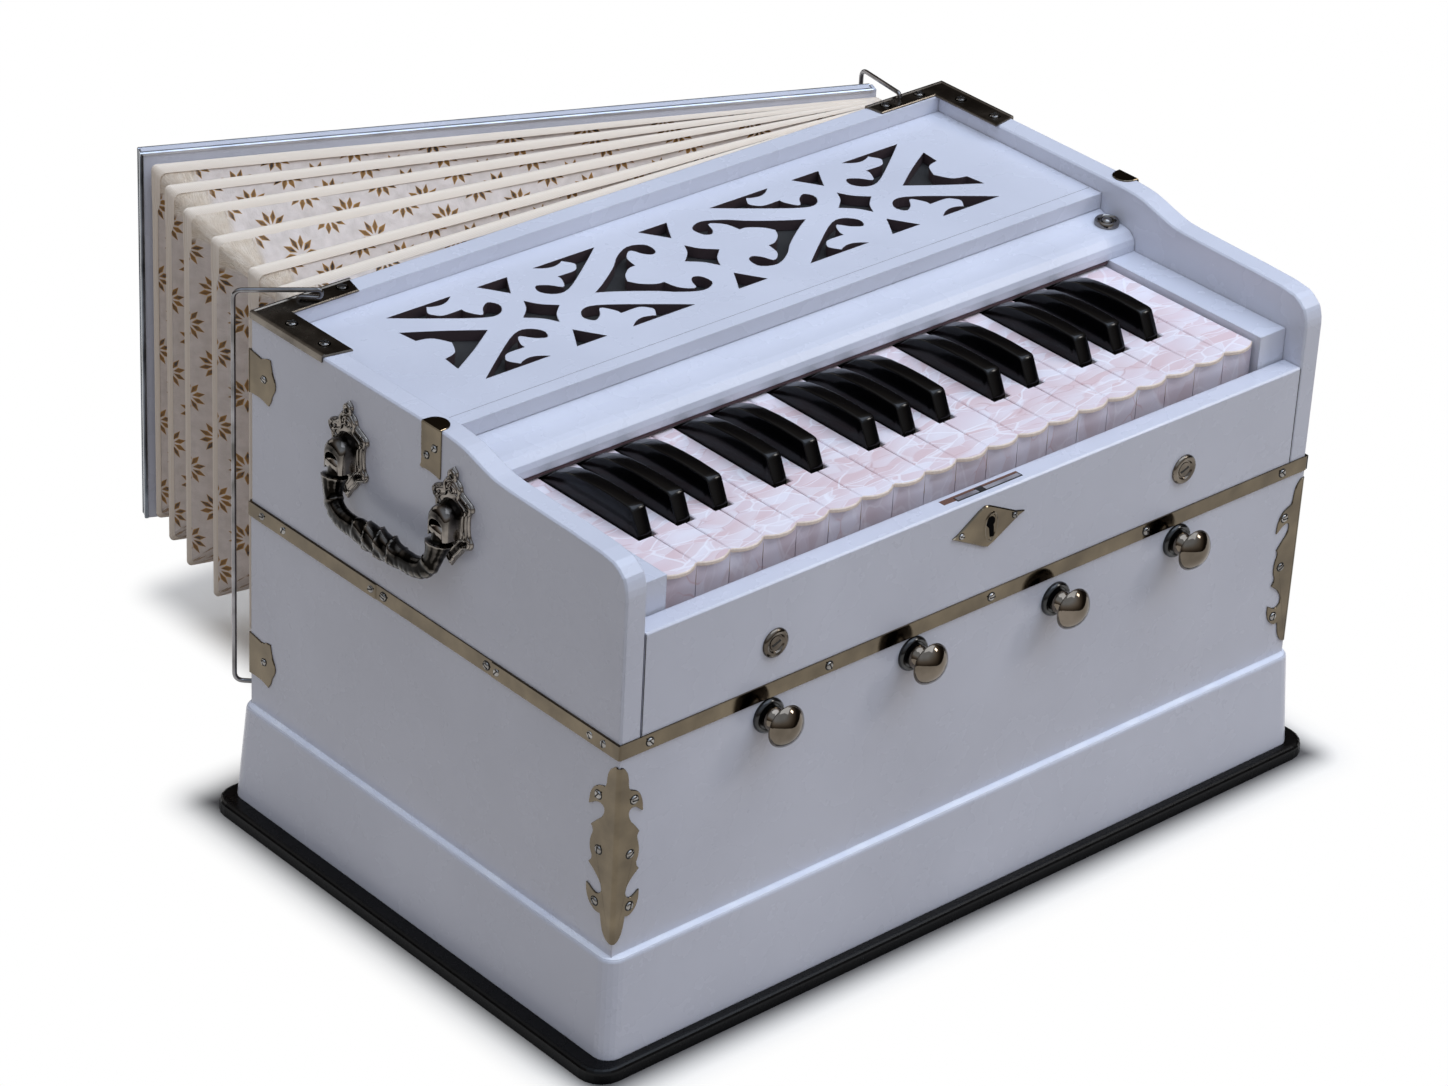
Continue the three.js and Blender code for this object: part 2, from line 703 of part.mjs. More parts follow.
// Key frame: end blocks beside the keys, a stop rail under their fronts and a balance rail.
const ridgeTop = KEY_BOTTOM - SEAT_GAP;
const railFrom = LEFT_BLOCK_RIGHT - CUT_MARGIN;
const railTo = RIGHT_BLOCK_LEFT + CUT_MARGIN;
const balanceShape = shapeOf([
  [BALANCE_FRONT, REED_BOARD_TOP],
  [BALANCE_BACK, REED_BOARD_TOP],
  [BALANCE_BACK, BALANCE_SHOULDER],
  [KEY_PIVOT_Y + BALANCE_RIDGE_WIDTH / 2, ridgeTop],
  [KEY_PIVOT_Y - BALANCE_RIDGE_WIDTH / 2, ridgeTop],
  [BALANCE_FRONT, BALANCE_SHOULDER],
]);
add(
  "key_frame",
  join([
    box(innerLeft, LEFT_BLOCK_RIGHT, FRAME_FRONT, FRAME_BACK, REED_BOARD_TOP, RAIL_BOTTOM),
    box(RIGHT_BLOCK_LEFT, innerRight, FRAME_FRONT, FRAME_BACK, REED_BOARD_TOP, RAIL_BOTTOM),
    box(railFrom, railTo, STOP_RAIL_FRONT, STOP_RAIL_BACK, REED_BOARD_TOP, STOP_RAIL_TOP),
    across(balanceShape, railFrom, railTo),
  ]),
  paint,
);

// Key rail: a moulded bar across the keys, on the end blocks.
add("key_rail", across(shapeOf(RAIL_PROFILE), innerLeft, innerRight), paint);

// Keys. Each is one lever with its pallet at the back, over a slot of the reed board.
function pallet(left, right) {
  return box(
    left + PALLET_SIDE_INSET,
    right - PALLET_SIDE_INSET,
    PALLET_FRONT,
    KEY_BACK,
    REED_BOARD_TOP + SEAT_GAP,
    KEY_BOTTOM + CUT_MARGIN,
  );
}

// A white key's lever has a flat front with a short apron under it, and a scalloped plate on top.
function whiteKey(k) {
  const { left, right, tailLeft, tailRight } = whiteSides(k);
  const middle = (left + right) / 2;
  const front = KEY_FRONT + KEY_CUSP;
  const sides = [
    [right, HEAD_BACK],
    [tailRight, HEAD_BACK],
    [tailRight, KEY_BACK],
    [tailLeft, KEY_BACK],
    [tailLeft, HEAD_BACK],
    [left, HEAD_BACK],
  ];
  const nose = new THREE.Shape();
  nose.moveTo(left, front);
  nose.quadraticCurveTo(middle, KEY_FRONT - KEY_CUSP, right, front);
  sides.forEach((point) => nose.lineTo(...point));
  const plateBottom = WHITE_TOP - WHITE_PLATE;
  const plate = extrude(nose, WHITE_PLATE, WHITE_EDGE).translate(0, 0, plateBottom);
  const block = extrude(shapeOf([[left, front], [right, front], ...sides]), plateBottom + WHITE_EDGE - KEY_BOTTOM);
  const apron = box(left, right, front, front + APRON_THICKNESS, APRON_BOTTOM, KEY_BOTTOM + CUT_MARGIN);
  return join([plate, block.translate(0, 0, KEY_BOTTOM), apron, pallet(tailLeft, tailRight)]);
}

function blackKey(centre) {
  const rings = BLACK_SIDE.map(([y, over]) => {
    const top = WHITE_TOP + over;
    const low = BLACK_WIDTH / 2;
    const high = BLACK_TOP_WIDTH / 2;
    return [
      new THREE.Vector3(centre - low, y, KEY_BOTTOM),
      new THREE.Vector3(centre - high, y, top),
      new THREE.Vector3(centre + high, y, top),
      new THREE.Vector3(centre + low, y, KEY_BOTTOM),
    ];
  });
  return join([loft(rings), pallet(centre - BLACK_WIDTH / 2, centre + BLACK_WIDTH / 2)]);
}

let blackNumber = 0;
for (let k = 0; k < WHITE_COUNT; k += 1) {
  add(`white_key_${String(k + 1).padStart(2, "0")}`, whiteKey(k), pearl);
  if (blackCentres[k] !== null) {
    blackNumber += 1;
    add(`black_key_${String(blackNumber).padStart(2, "0")}`, blackKey(blackCentres[k]), gloss);
  }
}

// Top board: a thin lid over the reeds, pierced by a fretwork of scrolls and diamonds.
// Each opening is a run of strokes: one point is a straight line, more are a smooth curve. The
// points are steps of the drawing grid, so they are shares of the board's clear length and depth.
function opening([[start], ...strokes]) {
  const path = new THREE.Path();
  path.moveTo(...start);
  for (const stroke of strokes) {
    if (stroke.length === 1) {
      path.lineTo(...stroke[0]);
    } else {
      path.splineThru(stroke.map(([u, v]) => new THREE.Vector2(u, v)));
    }
  }
  return path;
}

const DIAMOND_SHARES = [
  [[0, 14.5]],
  [[4.4, 6.8], [12, 0]],
  [[4.4, -6.8], [0, -14.5]],
  [[-4.4, -6.8], [-12, 0]],
  [[-4.4, 6.8], [0, 14.5]],
];
const DART_SHARES = [
  [[-10, 40.4]],
  [[10, 40.4]],
  [[5, 32.8], [0, 24.8]],
  [[-5, 32.8], [-10, 40.4]],
];
const COMMA_SHARES = [
  [[-69, 40.4]],
  [[-27.1, 40.4]],
  [[-32.1, 36.9], [-37.1, 35.5], [-42.1, 36.6], [-44.6, 38.1]],
  [[-48.3, 32.4], [-47.1, 28.8], [-42.9, 25.5], [-31.7, 25.5]],
  [
    [-31.4, 21.6],
    [-26.9, 14.6],
    [-21.7, 20.6],
    [-15.7, 23.8],
    [-12.9, 17.4],
    [-18.6, 10.6],
    [-28.6, 11.9],
    [-51.4, 27.4],
    [-69, 40.4],
  ],
];
const SCROLL_SHARES = [
  [[-73.2, 0]],
  [
    [-62.8, 5.9],
    [-47.1, 16.6],
    [-37.1, 25.2],
    [-25.5, 30.8],
    [-16.4, 27],
    [-16.4, 18.8],
    [-20.4, 16.1],
    [-24.2, 19.5],
    [-27.4, 26.4],
    [-34.3, 20.8],
    [-36.4, 11.6],
  ],
  [[-41.4, 10.9], [-48, 5.8], [-51.4, 0]],
  [[-48, -5.8], [-41.4, -10.9], [-36.4, -11.6]],
  [
    [-34.3, -20.8],
    [-27.4, -26.4],
    [-24.2, -19.5],
    [-20.4, -16.1],
    [-16.4, -18.8],
    [-16.4, -27],
    [-25.5, -30.8],
    [-37.1, -25.2],
    [-47.1, -16.6],
    [-62.8, -5.9],
    [-73.2, 0],
  ],
];
const END_LEAF_SHARES = [
  [[-144.2, 0]],
  [[-162.8, 12.4], [-182.5, 24]],
  [[-181, 12]],
  [[-172.6, 9.2], [-167.3, 0]],
  [[-172.6, -9.2], [-181, -12]],
  [[-182.5, -24]],
  [[-162.8, -12.4], [-144.2, 0]],
];

// One opening's cutter, mirrored where a sign is -1 and moved sideways by a count of diamonds.
const plateBack = backFront - SEAT_GAP;
const fretFront = TOP_BOARD_FRONT + FRET_FRONT_MARGIN;
const fretBack = plateBack - FRET_BACK_MARGIN;
const stepX = (CASE_WIDTH - 2 * FRET_END_MARGIN) / FRET_LENGTH_SHARE;
const stepY = (fretBack - fretFront) / FRET_DEPTH_SHARE;
function cutter(shares, signX, signY, diamonds) {
  const points = opening(shares).getPoints(3).slice(0, -1).map((point) => [
    CASE_WIDTH / 2 + stepX * (diamonds * DIAMOND_PITCH_SHARE + signX * point.x),
    (fretFront + fretBack) / 2 + stepY * signY * point.y,
  ]);
  const deep = TOP_BOARD_THICKNESS + 2 * CUT_MARGIN;
  return extrude(shapeOf(points), deep).translate(0, 0, topBoardBottom - CUT_MARGIN);
}
const openings = [];
for (const side of [-1, 0, 1]) {
  openings.push(cutter(DIAMOND_SHARES, 1, 1, side));
  openings.push(cutter(DART_SHARES, 1, 1, side));
  openings.push(cutter(DART_SHARES, 1, -1, side));
}
for (const side of [-1, 1]) {
  for (const facing of [-1, 1]) {
    openings.push(cutter(COMMA_SHARES, facing, 1, side));
    openings.push(cutter(COMMA_SHARES, facing, -1, side));
  }
  openings.push(cutter(SCROLL_SHARES, -side, 1, 0));
  openings.push(cutter(END_LEAF_SHARES, -side, 1, 0));
}
const topLip = box(
  innerLeft,
  innerRight,
  TOP_BOARD_FRONT,
  TOP_BOARD_FRONT + TOP_BOARD_LIP_DEPTH,
  TOP_BOARD_LIP_BOTTOM,
  TOP_BOARD_TOP - TOP_BOARD_THICKNESS / 2,
);
const topPlate = box(
  innerLeft,
  innerRight,
  TOP_BOARD_FRONT,
  plateBack,
  topBoardBottom,
  TOP_BOARD_TOP,
);
add("top_board", cut(join([topPlate, topLip]), openings), paint);

// Stops: a turned knob on a rod that slides through the front wall.
STOPS.forEach(([x, z], k) => {
  const profile = [[0, -STOP_ROD_INSIDE], [STOP_ROD_RADIUS, -STOP_ROD_INSIDE], ...KNOB_PROFILE, [0, KNOB_END]];
  const knob = new THREE.LatheGeometry(profile.map(([r, out]) => new THREE.Vector2(r, out)), 24);
  add(`stop_${k + 1}`, geometryOf(solid(knob.rotateX(Math.PI).translate(x, 0, z))), nickel);
});

// Handle plates: a cast leaf on the cheek with a hood where the bail's end turns.
function handlePlate(centre) {
  const mirrored = PLATE_HALF.slice(1, -1).map(([u, v]) => [-u, v]).reverse();
  const leaf = [...PLATE_HALF, ...mirrored].map(([u, v]) => [centre + u, PLATE_HEIGHT + v]);
  const side = new THREE.Shape();
  side.moveTo(0, HOOD_BOTTOM);
  side.lineTo(0, HOOD_TOP);
  side.lineTo(HOOD_CORNER - HOOD_REACH, HOOD_TOP);
  side.quadraticCurveTo(-HOOD_REACH, HOOD_TOP, -HOOD_REACH, HOOD_TOP - HOOD_CORNER);
  side.lineTo(-HOOD_REACH, HOOD_BOTTOM);
  const hood = extrude(side, 2 * HOOD_HALF_WIDTH, BOARD_EDGE).rotateX(Math.PI / 2);
  return cut(
    join([
      across(shapeOf(leaf), -PLATE_THICKNESS, 0),
      hood.translate(0, centre + HOOD_HALF_WIDTH, 0),
    ]),
    [
      box(
        -HOOD_REACH - CUT_MARGIN,
        -PLATE_THICKNESS,
        centre - MOUTH_HALF_WIDTH,
        centre + MOUTH_HALF_WIDTH,
        HOOD_BOTTOM - CUT_MARGIN,
        MOUTH_TOP,
      ),
      cylinderY(
        -BAIL_AXIS_OUT,
        centre - HOOD_HALF_WIDTH - CUT_MARGIN,
        centre + HOOD_HALF_WIDTH + CUT_MARGIN,
        BAIL_AXIS_HEIGHT,
        PIN_RADIUS + RUNNING_GAP,
      ),
    ],
  );
}

// Handle: one cast bail that hangs between two hoods, with a swelling in the middle of its bar.
function handleBail() {
  const [near, far] = PLATE_CENTRES;
  const middle = (near + far) / 2;
  const path = rounded(
    [
      new THREE.Vector3(-BAIL_AXIS_OUT, near, BAIL_AXIS_HEIGHT),
      new THREE.Vector3(-BAIL_BAR_OUT, near, BAIL_BAR_HEIGHT),
      new THREE.Vector3(-BAIL_BAR_OUT, far, BAIL_BAR_HEIGHT),
      new THREE.Vector3(-BAIL_AXIS_OUT, far, BAIL_AXIS_HEIGHT),
    ],
    [BAIL_BEND, BAIL_BEND],
  );
  const bends = path.length / 2;
  const straight = [];
  const BULGE_STEPS = 8;
  for (let k = 0; k <= BULGE_STEPS; k += 1) {
    const share = (2 * k) / BULGE_STEPS - 1;
    straight.push(new THREE.Vector3(-BAIL_BAR_OUT, middle + share * BULGE_HALF_LENGTH, BAIL_BAR_HEIGHT));
  }
  const whole = [...path.slice(0, bends), ...straight, ...path.slice(bends)];
  const radii = whole.map((point) => {
    const away = Math.abs(point.y - middle) / BULGE_HALF_LENGTH;
    if (away <= 1) {
      return BAIL_BAR_RADIUS + (BULGE_RADIUS - BAIL_BAR_RADIUS) * Math.cos((away * Math.PI) / 2) ** 2;
    }
    const rise = (point.z - BAIL_BAR_HEIGHT) / (BAIL_AXIS_HEIGHT - BAIL_BAR_HEIGHT);
    return BAIL_BAR_RADIUS + (SHANK_RADIUS - BAIL_BAR_RADIUS) * Math.min(2 * rise, 1);
  });
  const pieces = [bar(whole, radii, 12)];
  for (const centre of PLATE_CENTRES) {
    const from = centre - BARREL_HALF_LENGTH;
    const to = centre + BARREL_HALF_LENGTH;
    pieces.push(cylinderY(-BAIL_AXIS_OUT, from, to, BAIL_AXIS_HEIGHT, BARREL_RADIUS));
    const pinFrom = centre - PIN_HALF_LENGTH;
    const pinTo = centre + PIN_HALF_LENGTH;
    pieces.push(cylinderY(-BAIL_AXIS_OUT, pinFrom, pinTo, BAIL_AXIS_HEIGHT, PIN_RADIUS, 16));
  }
  return join(pieces);
}

// The same piece for the case's right end.
function rightHand(geometry) {
  const bare = solid(geometry).mirror([1, 0, 0]);
  return geometryOf(bare).translate(CASE_WIDTH, 0, 0);
}
add("left_handle", handleBail(), castMetal);
add("right_handle", rightHand(handleBail()), castMetal);
PLATE_CENTRES.forEach((centre, k) => {
  const place = k === 0 ? "front" : "back";
  add(`left_handle_plate_${place}`, handlePlate(centre), castMetal);
  add(`right_handle_plate_${place}`, rightHand(handlePlate(centre)), castMetal);
});

// Side wires: each swings on its two bent ends, held in holes of the back.
function sideWire(x, arm, angle, curled) {
  const turn = degrees(angle);
  const outX = -Math.sin(turn);
  const outY = Math.cos(turn);
  const at = (reach, z) => new THREE.Vector3(x + outX * reach, WIRE_PIVOT_Y + outY * reach, z);
  const top = curled
    ? [at(0, WIRE_UPPER_END), at(0, CURL_LOW), at(-CURL_REACH, CURL_LOW), at(-CURL_REACH, CURL_HIGH)]
    : [at(0, WIRE_UPPER_END), at(0, WIRE_TOP)];
  const bends = curled ? [WIRE_END_BEND, CURL_BEND, CURL_BEND] : [WIRE_END_BEND];
  const corners = [...top, at(arm, WIRE_TOP), at(arm, WIRE_FOOT), at(0, WIRE_FOOT), at(0, WIRE_LOWER_END)];
  const path = rounded(corners, [...bends, WIRE_BEND, WIRE_BEND, WIRE_END_BEND], 6);
  return bar(path, path.map(() => WIRE_RADIUS), 10);
}
add("left_wire", sideWire(LEFT_WIRE_X, LEFT_WIRE_ARM, LEFT_WIRE_ANGLE, true), steel);
add("right_wire", sideWire(RIGHT_WIRE_X, RIGHT_WIRE_ARM, RIGHT_WIRE_ANGLE, false), steel);

// Bellows board: the hinged rear board that the player's hand pumps.
const hinge = new THREE.Group();
hinge.position.set(BELLOWS_HINGE_X, BELLOWS_HINGE_Y, 0);
hinge.rotation.z = -degrees(BELLOWS_OPEN_ANGLE);
body.add(hinge);
const boardLength = BELLOWS_HINGE_X - BELLOWS_BOARD_LEFT;
const bellowsBlank = box(
  -boardLength,
  0,
  0,
  BELLOWS_BOARD_THICKNESS,
  BELLOWS_BOARD_BOTTOM,
  BELLOWS_BOARD_TOP,
);
const intakeHeight = (BELLOWS_BOARD_BOTTOM + BELLOWS_BOARD_TOP) / 2;
const intakes = [];
for (let k = 0; k < INTAKE_COUNT; k += 1) {
  const x = -boardLength / 2 + (k - (INTAKE_COUNT - 1) / 2) * INTAKE_PITCH;
  intakes.push(cylinderY(x, -CUT_MARGIN, BELLOWS_BOARD_THICKNESS + CUT_MARGIN, intakeHeight, INTAKE_RADIUS));
}
add("bellows_board", cut(bellowsBlank, intakes), paint, hinge);

// Bellows folds: a pleated cloth wedge that fans out from the board's hinge.
const foldStations = [0];
RIDGE_SHARES.forEach((share, k) => {
  const next = RIDGE_SHARES[k + 1];
  foldStations.push(share, next === undefined ? 1 : (share + next) / 2);
});
const foldStart = CASE_DEPTH + BAND_THICKNESS + SEAT_GAP;
const foldEnd = BELLOWS_HINGE_Y - SEAT_GAP;
function foldRing(k, inset) {
  const share = foldStations[k];
  const turn = degrees(BELLOWS_OPEN_ANGLE) * share;
  const valley = k % 2 === 0 ? FOLD_DEPTH : 0;
  const from = inset;
  const to = FOLD_REACH - valley - inset;
  const low = FOLD_BOTTOM + valley + inset;
  const high = FOLD_TOP - valley - inset;
  const y = foldStart + (foldEnd - foldStart) * share;
  const at = (reach, z) => new THREE.Vector3(
    BELLOWS_HINGE_X - reach * Math.cos(turn),
    y + reach * Math.sin(turn),
    z,
  );
  return [at(from, low), at(to, low), at(to, high), at(from, high)];
}
const foldRings = (inset) => foldStations.map((share, k) => foldRing(k, inset));
add("bellows_folds", walledTube(foldRings(0), foldRings(FOLD_WALL)), cloth);

// Reservoir: a sprung wooden board on a folded cloth wall, on the floor of the case.
const reservoirFloor = BASE_TOP + SEAT_GAP;
function reservoirRings(inset) {
  const rings = [];
  for (let k = 0; k <= 2 * RESERVOIR_FOLD_COUNT; k += 1) {
    const pinch = (k % 2 === 0 ? 0 : RESERVOIR_FOLD_DEPTH) + inset;
    const z = reservoirFloor + (RESERVOIR_STACK * k) / (2 * RESERVOIR_FOLD_COUNT);
    rings.push([
      new THREE.Vector3(RESERVOIR_LEFT + pinch, RESERVOIR_FRONT + pinch, z),
      new THREE.Vector3(RESERVOIR_RIGHT - pinch, RESERVOIR_FRONT + pinch, z),
      new THREE.Vector3(RESERVOIR_RIGHT - pinch, RESERVOIR_BACK - pinch, z),
      new THREE.Vector3(RESERVOIR_LEFT + pinch, RESERVOIR_BACK - pinch, z),
    ]);
  }
  return rings;
}
add("reservoir_folds", walledTube(reservoirRings(0), reservoirRings(FOLD_WALL)), cloth);
const reservoirTop = reservoirFloor + RESERVOIR_STACK + SEAT_GAP;
add(
  "reservoir_board",
  box(
    RESERVOIR_LEFT,
    RESERVOIR_RIGHT,
    RESERVOIR_FRONT,
    RESERVOIR_BACK,
    reservoirTop,
    reservoirTop + RESERVOIR_BOARD_THICKNESS,
  ),
  wood,
);

export default group;
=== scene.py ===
"""An Indian harmonium, a hand-pumped table reed organ, with its rear bellows part open."""
from functools import partial
from math import copysign, cos, exp, pi, radians, sin
import bmesh
import bpy
from mathutils import Matrix, Vector
from mathutils.geometry import tessellate_polygon


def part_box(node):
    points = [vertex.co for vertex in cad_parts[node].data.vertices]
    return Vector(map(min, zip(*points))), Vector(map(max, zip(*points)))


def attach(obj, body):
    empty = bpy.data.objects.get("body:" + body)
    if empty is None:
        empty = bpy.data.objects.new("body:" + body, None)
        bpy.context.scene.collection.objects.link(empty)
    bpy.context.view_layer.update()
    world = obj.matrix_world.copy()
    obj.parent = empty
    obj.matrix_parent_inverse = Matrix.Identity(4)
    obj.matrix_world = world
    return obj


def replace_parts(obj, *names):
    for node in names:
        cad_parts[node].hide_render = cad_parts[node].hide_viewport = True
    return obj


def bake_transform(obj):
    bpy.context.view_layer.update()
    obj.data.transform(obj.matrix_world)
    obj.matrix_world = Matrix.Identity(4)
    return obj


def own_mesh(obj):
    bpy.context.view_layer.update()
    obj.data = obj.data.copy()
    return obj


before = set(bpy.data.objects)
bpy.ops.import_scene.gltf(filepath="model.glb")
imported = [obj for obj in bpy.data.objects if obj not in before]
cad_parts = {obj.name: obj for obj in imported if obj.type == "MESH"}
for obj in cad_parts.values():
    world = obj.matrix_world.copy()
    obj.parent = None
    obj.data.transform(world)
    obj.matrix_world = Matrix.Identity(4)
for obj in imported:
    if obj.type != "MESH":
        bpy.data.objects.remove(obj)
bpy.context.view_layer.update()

# Painted case.
# The boards are plywood and softwood, sprayed with a lavender-white enamel. It dries to a smooth
# satin skin, a little wavy where the spray settled, and thin on the board edges.


def linear(hex_code):
    """An sRGB hex colour as the linear values that a shader takes."""
    parts = [int(hex_code[i:i + 2], 16) / 255 for i in (1, 3, 5)]
    return (*(p / 12.92 if p <= 0.04045 else ((p + 0.055) / 1.055) ** 2.4 for p in parts), 1.0)


def node(tree, kind, inputs=(), operation=None, **settings):
    """Adds one shader node with its settings, and links or sets its inputs, by name or in order.
    A node given as an input stands for its first output in use."""
    made = tree.nodes.new("ShaderNode" + kind)
    if operation:
        made.operation = operation
    for key, value in settings.items():
        setattr(made, key, value)
    for key, value in inputs.items() if isinstance(inputs, dict) else enumerate(inputs):
        if isinstance(value, bpy.types.Node):
            value = next(output for output in value.outputs if output.enabled)
        if isinstance(value, bpy.types.NodeSocket):
            tree.links.new(value, made.inputs[key])
        else:
            made.inputs[key].default_value = value
    return made


def finish(name, build, *look):
    """A material whose surface comes from build(add, *look), where add adds a node to it."""
    made = bpy.data.materials.new(name)
    made.use_nodes = True
    made.node_tree.nodes.clear()
    add = partial(node, made.node_tree)
    add("OutputMaterial", {"Surface": build(add, *look)})
    return made


def position(add, scale):
    """Object position, stretched so that one unit is 1 / scale metres."""
    place = add("TexCoord").outputs["Object"]
    return add("VectorMath", {0: place, "Scale": scale}, "SCALE")


def two_tone(add, factor, dark, light, low=0.0, high=1.0):
    """A colour between two hex colours, as factor goes from low to high."""
    ramp = add("ValToRGB", {"Fac": factor})
    for end, stop, colour in zip(ramp.color_ramp.elements, (low, high), (dark, light)):
        end.position, end.color = stop, linear(colour)
    return ramp


def sprayed_enamel(add):
    # Clouds about 90 mm wide in the colour, and spray waves about 2 mm wide in the skin.
    clouds, waves, smears = [
        add("TexNoise", {"Vector": position(add, size), "Scale": 1.0, "Detail": detail})
        for size, detail in ((11, 3.0), (480, 2.0), (40, 4.0))]
    edge = add("Bevel", {"Radius": 0.0009}, samples=4)
    return add("BsdfPrincipled", {
        "Base Color": two_tone(add, clouds, "#cbccd6", "#d5d6e0", 0.3, 0.7),
        "Roughness": add("MapRange", [smears, 0.0, 1.0, 0.2, 0.34]),
        "Normal": add("Bump", {"Height": waves, "Strength": 0.05, "Distance": 0.0006,
                               "Normal": edge})})


def dress(material, *names):
    """Gives CAD nodes their material."""
    for name in names:
        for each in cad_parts[name].material_slots:
            each.material = material


enamel = finish("lavender_white_enamel", sprayed_enamel)
dress(enamel, "skirt", "lower_case", "left_cheek", "right_cheek", "upper_back", "front_panel",
      "top_board", "key_rail", "key_frame", "bellows_board")


# Painted highlight on the skirt's ledge.
# A strip of enamel lighter than the case covers the narrow ledge of the skirt moulding. Its
# near-white colour is a painted highlight, standing in for the light that catches the glossy ledge
# as a pale line round the case.

WIDTH, DEPTH = 480, 294
ENDS = (-1, 0), (1, WIDTH)


def mottled(add, size, dark, light, shine, detail=2.0, scale=5.0, low=0.0, high=1.0):
    # Patches 1000 / size / scale millimetres wide keep a plain surface from looking flat.
    patches = add("TexNoise", {"Vector": position(add, size), "Scale": scale, "Detail": detail})
    return add("BsdfPrincipled", {
        "Base Color": two_tone(add, patches, dark, light, low, high), **shine})


def at(x, y, z):
    """A point in metres, from millimetres right of the left face, back from the front, and up
    from a level 4 mm under the base board."""
    return Vector(((x - WIDTH / 2) / 1000, (y - DEPTH / 2) / 1000, (z - 4) / 1000))


def ledge_ring(proud, radius, z):
    """A line round the case with rounded corners, proud of the walls by some millimetres."""
    near, right, back = radius - proud, WIDTH + proud - radius, DEPTH + proud - radius
    line = []
    for turn, (x, y) in enumerate(((right, back), (near, back), (near, near), (right, near))):
        for step in range(7):
            angle = pi / 2 * (turn + step / 6)
            line.append(at(x + radius * cos(angle), y + radius * sin(angle), z))
    return line


def skin(bm, rings, caps="both", material=0):
    """Joins rings of points, each of the same count. Caps close both ends, the last or none."""
    rows = [[bm.verts.new(point) for point in ring] for ring in rings]
    count = len(rows[0])
    made = [bm.faces.new((near[k], near[(k + 1) % count], far[(k + 1) % count], far[k]))
            for near, far in zip(rows, rows[1:]) for k in range(count)]
    if caps == "both":
        made.append(bm.faces.new(rows[0][::-1]))
    if caps != "none":
        made.append(bm.faces.new(rows[-1]))
    for face in made:
        face.material_index = material


def placed(name, data, body, *materials):
    """An object made of one mesh. It rides on a body, unless it bends between two. The floor,
    the lamps and the camera ride on none."""
    made = bpy.data.objects.new(name, data)
    bpy.context.scene.collection.objects.link(made)
    for material in materials:
        data.materials.append(material)
    if body:
        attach(made, body)
    return made


def piece(name, bm, angle, body, *materials):
    """The object of a bmesh, its faces turned out and shaded smooth below an angle."""
    bmesh.ops.recalc_face_normals(bm, faces=bm.faces)
    mesh = bpy.data.meshes.new(name)
    for face in bm.faces:
        face.smooth = True
    for edge in bm.edges:
        edge.smooth = len(edge.link_faces) == 2 and edge.calc_face_angle(0) < radians(angle)
    bm.to_mesh(mesh)
    bm.free()
    return placed(name, mesh, body, *materials)


ledge = bmesh.new()
skin(ledge, [ledge_ring(*step) for step in (
    (3.3, 8, 67.9), (3.2, 8, 68.15), (2.9, 8, 68.25), (0.3, 1.5, 68.3), (0.02, 1.2, 68.9))], "none")
# The strip's near-white colour is a painted highlight on the ledge.
piece("skirt_ledge_highlight", ledge, 50, "case",
      finish("ledge_highlight_enamel", mottled, 60, "#e9ecf8", "#f6f8ff", {"Roughness": 0.22},
             3.0, 1.0, 0.3, 0.7))


# Base board.
# A plywood slab under the case, with round corners, painted in black gloss enamel.
# The paint is thick, so its softened top edge holds one long highlight.


def black_enamel(add):
    dust = add("TexNoise", {"Vector": position(add, 150), "Scale": 1.0, "Detail": 5.0})
    return add("BsdfPrincipled", {
        "Base Color": two_tone(add, dust, "#020203", "#060607", 0.4, 0.75),
        "Roughness": add("MapRange", [dust, 0.0, 1.0, 0.22, 0.34]),
        "Specular IOR Level": 0.18})


dress(finish("black_base_enamel", black_enamel), "base_board")


# Inner boards.
# The reed board and the reservoir board are sanded softwood, left bare.
# Growth rings make brown lines about 4 mm apart along the length.


def bare_softwood(add):
    place = add("VectorMath", [add("TexCoord").outputs["Object"], (6.0, 60.0, 60.0)], "MULTIPLY")
    rings = add("TexNoise", {"Vector": place, "Scale": 4.0, "Detail": 4.0})
    return add("BsdfPrincipled", {
        "Base Color": two_tone(add, rings, "#8f6f49", "#c7a476", 0.35, 0.65),
        "Roughness": 0.65,
        "Normal": add("Bump", {"Height": rings, "Strength": 0.2, "Distance": 0.0003})})


softwood = finish("bare_softwood", bare_softwood)
dress(softwood, "reed_board", "reservoir_board")


# Metal band and its screws.
# Thin strips of nickel-plated sheet steel, lapped end to end over the parting line. They are
# rolled and polished, so they mirror the knobs, with a warm brown cast from old plating.


def plating(add, dark, light, rough_low, rough_high, dents):
    # Worn patches about 18 mm wide and hairlines about 0.4 mm wide.
    worn, hair = [
        add("TexNoise", {"Vector": position(add, size), "Scale": 1.0, "Detail": detail})
        for size, detail in ((55, 4.0), (900, 2.0))]
    return add("BsdfPrincipled", {
        "Base Color": two_tone(add, worn, dark, light, 0.35, 0.7), "Metallic": 1.0,
        "Roughness": add("MapRange", [worn, 0.3, 0.7, rough_low, rough_high]),
        "Normal": add("Bump", {"Height": hair, "Strength": dents, "Distance": 0.0003})})


old_nickel = finish("old_nickel_sheet", plating, "#5d5447", "#736857", 0.06, 0.13, 0.03)
bright_steel = finish("bright_steel_screw", plating, "#6a6764", "#a5a29f", 0.05, 0.12, 0.05)
# Painted shade: the dark of screw slots, of rings round screw feet, and of narrow gaps and holes.
dark_slot = finish("painted_slot_shade", mottled, 600, "#0b0908", "#1d1916", {"Roughness": 0.7})


def frame_on(centre, out, up):
    """Turns (across, up, out) in millimetres on a face into a point in metres."""
    out, up = Vector(out).normalized(), Vector(up).normalized()
    side = up.cross(out)
    return lambda a, b, c: centre + (side * a + up * b + out * c) / 1000


def oblong(x0, x1, y0, y1):
    """The four corners of a rectangle, in order."""
    return [(x0, y0), (x1, y0), (x1, y1), (x0, y1)]


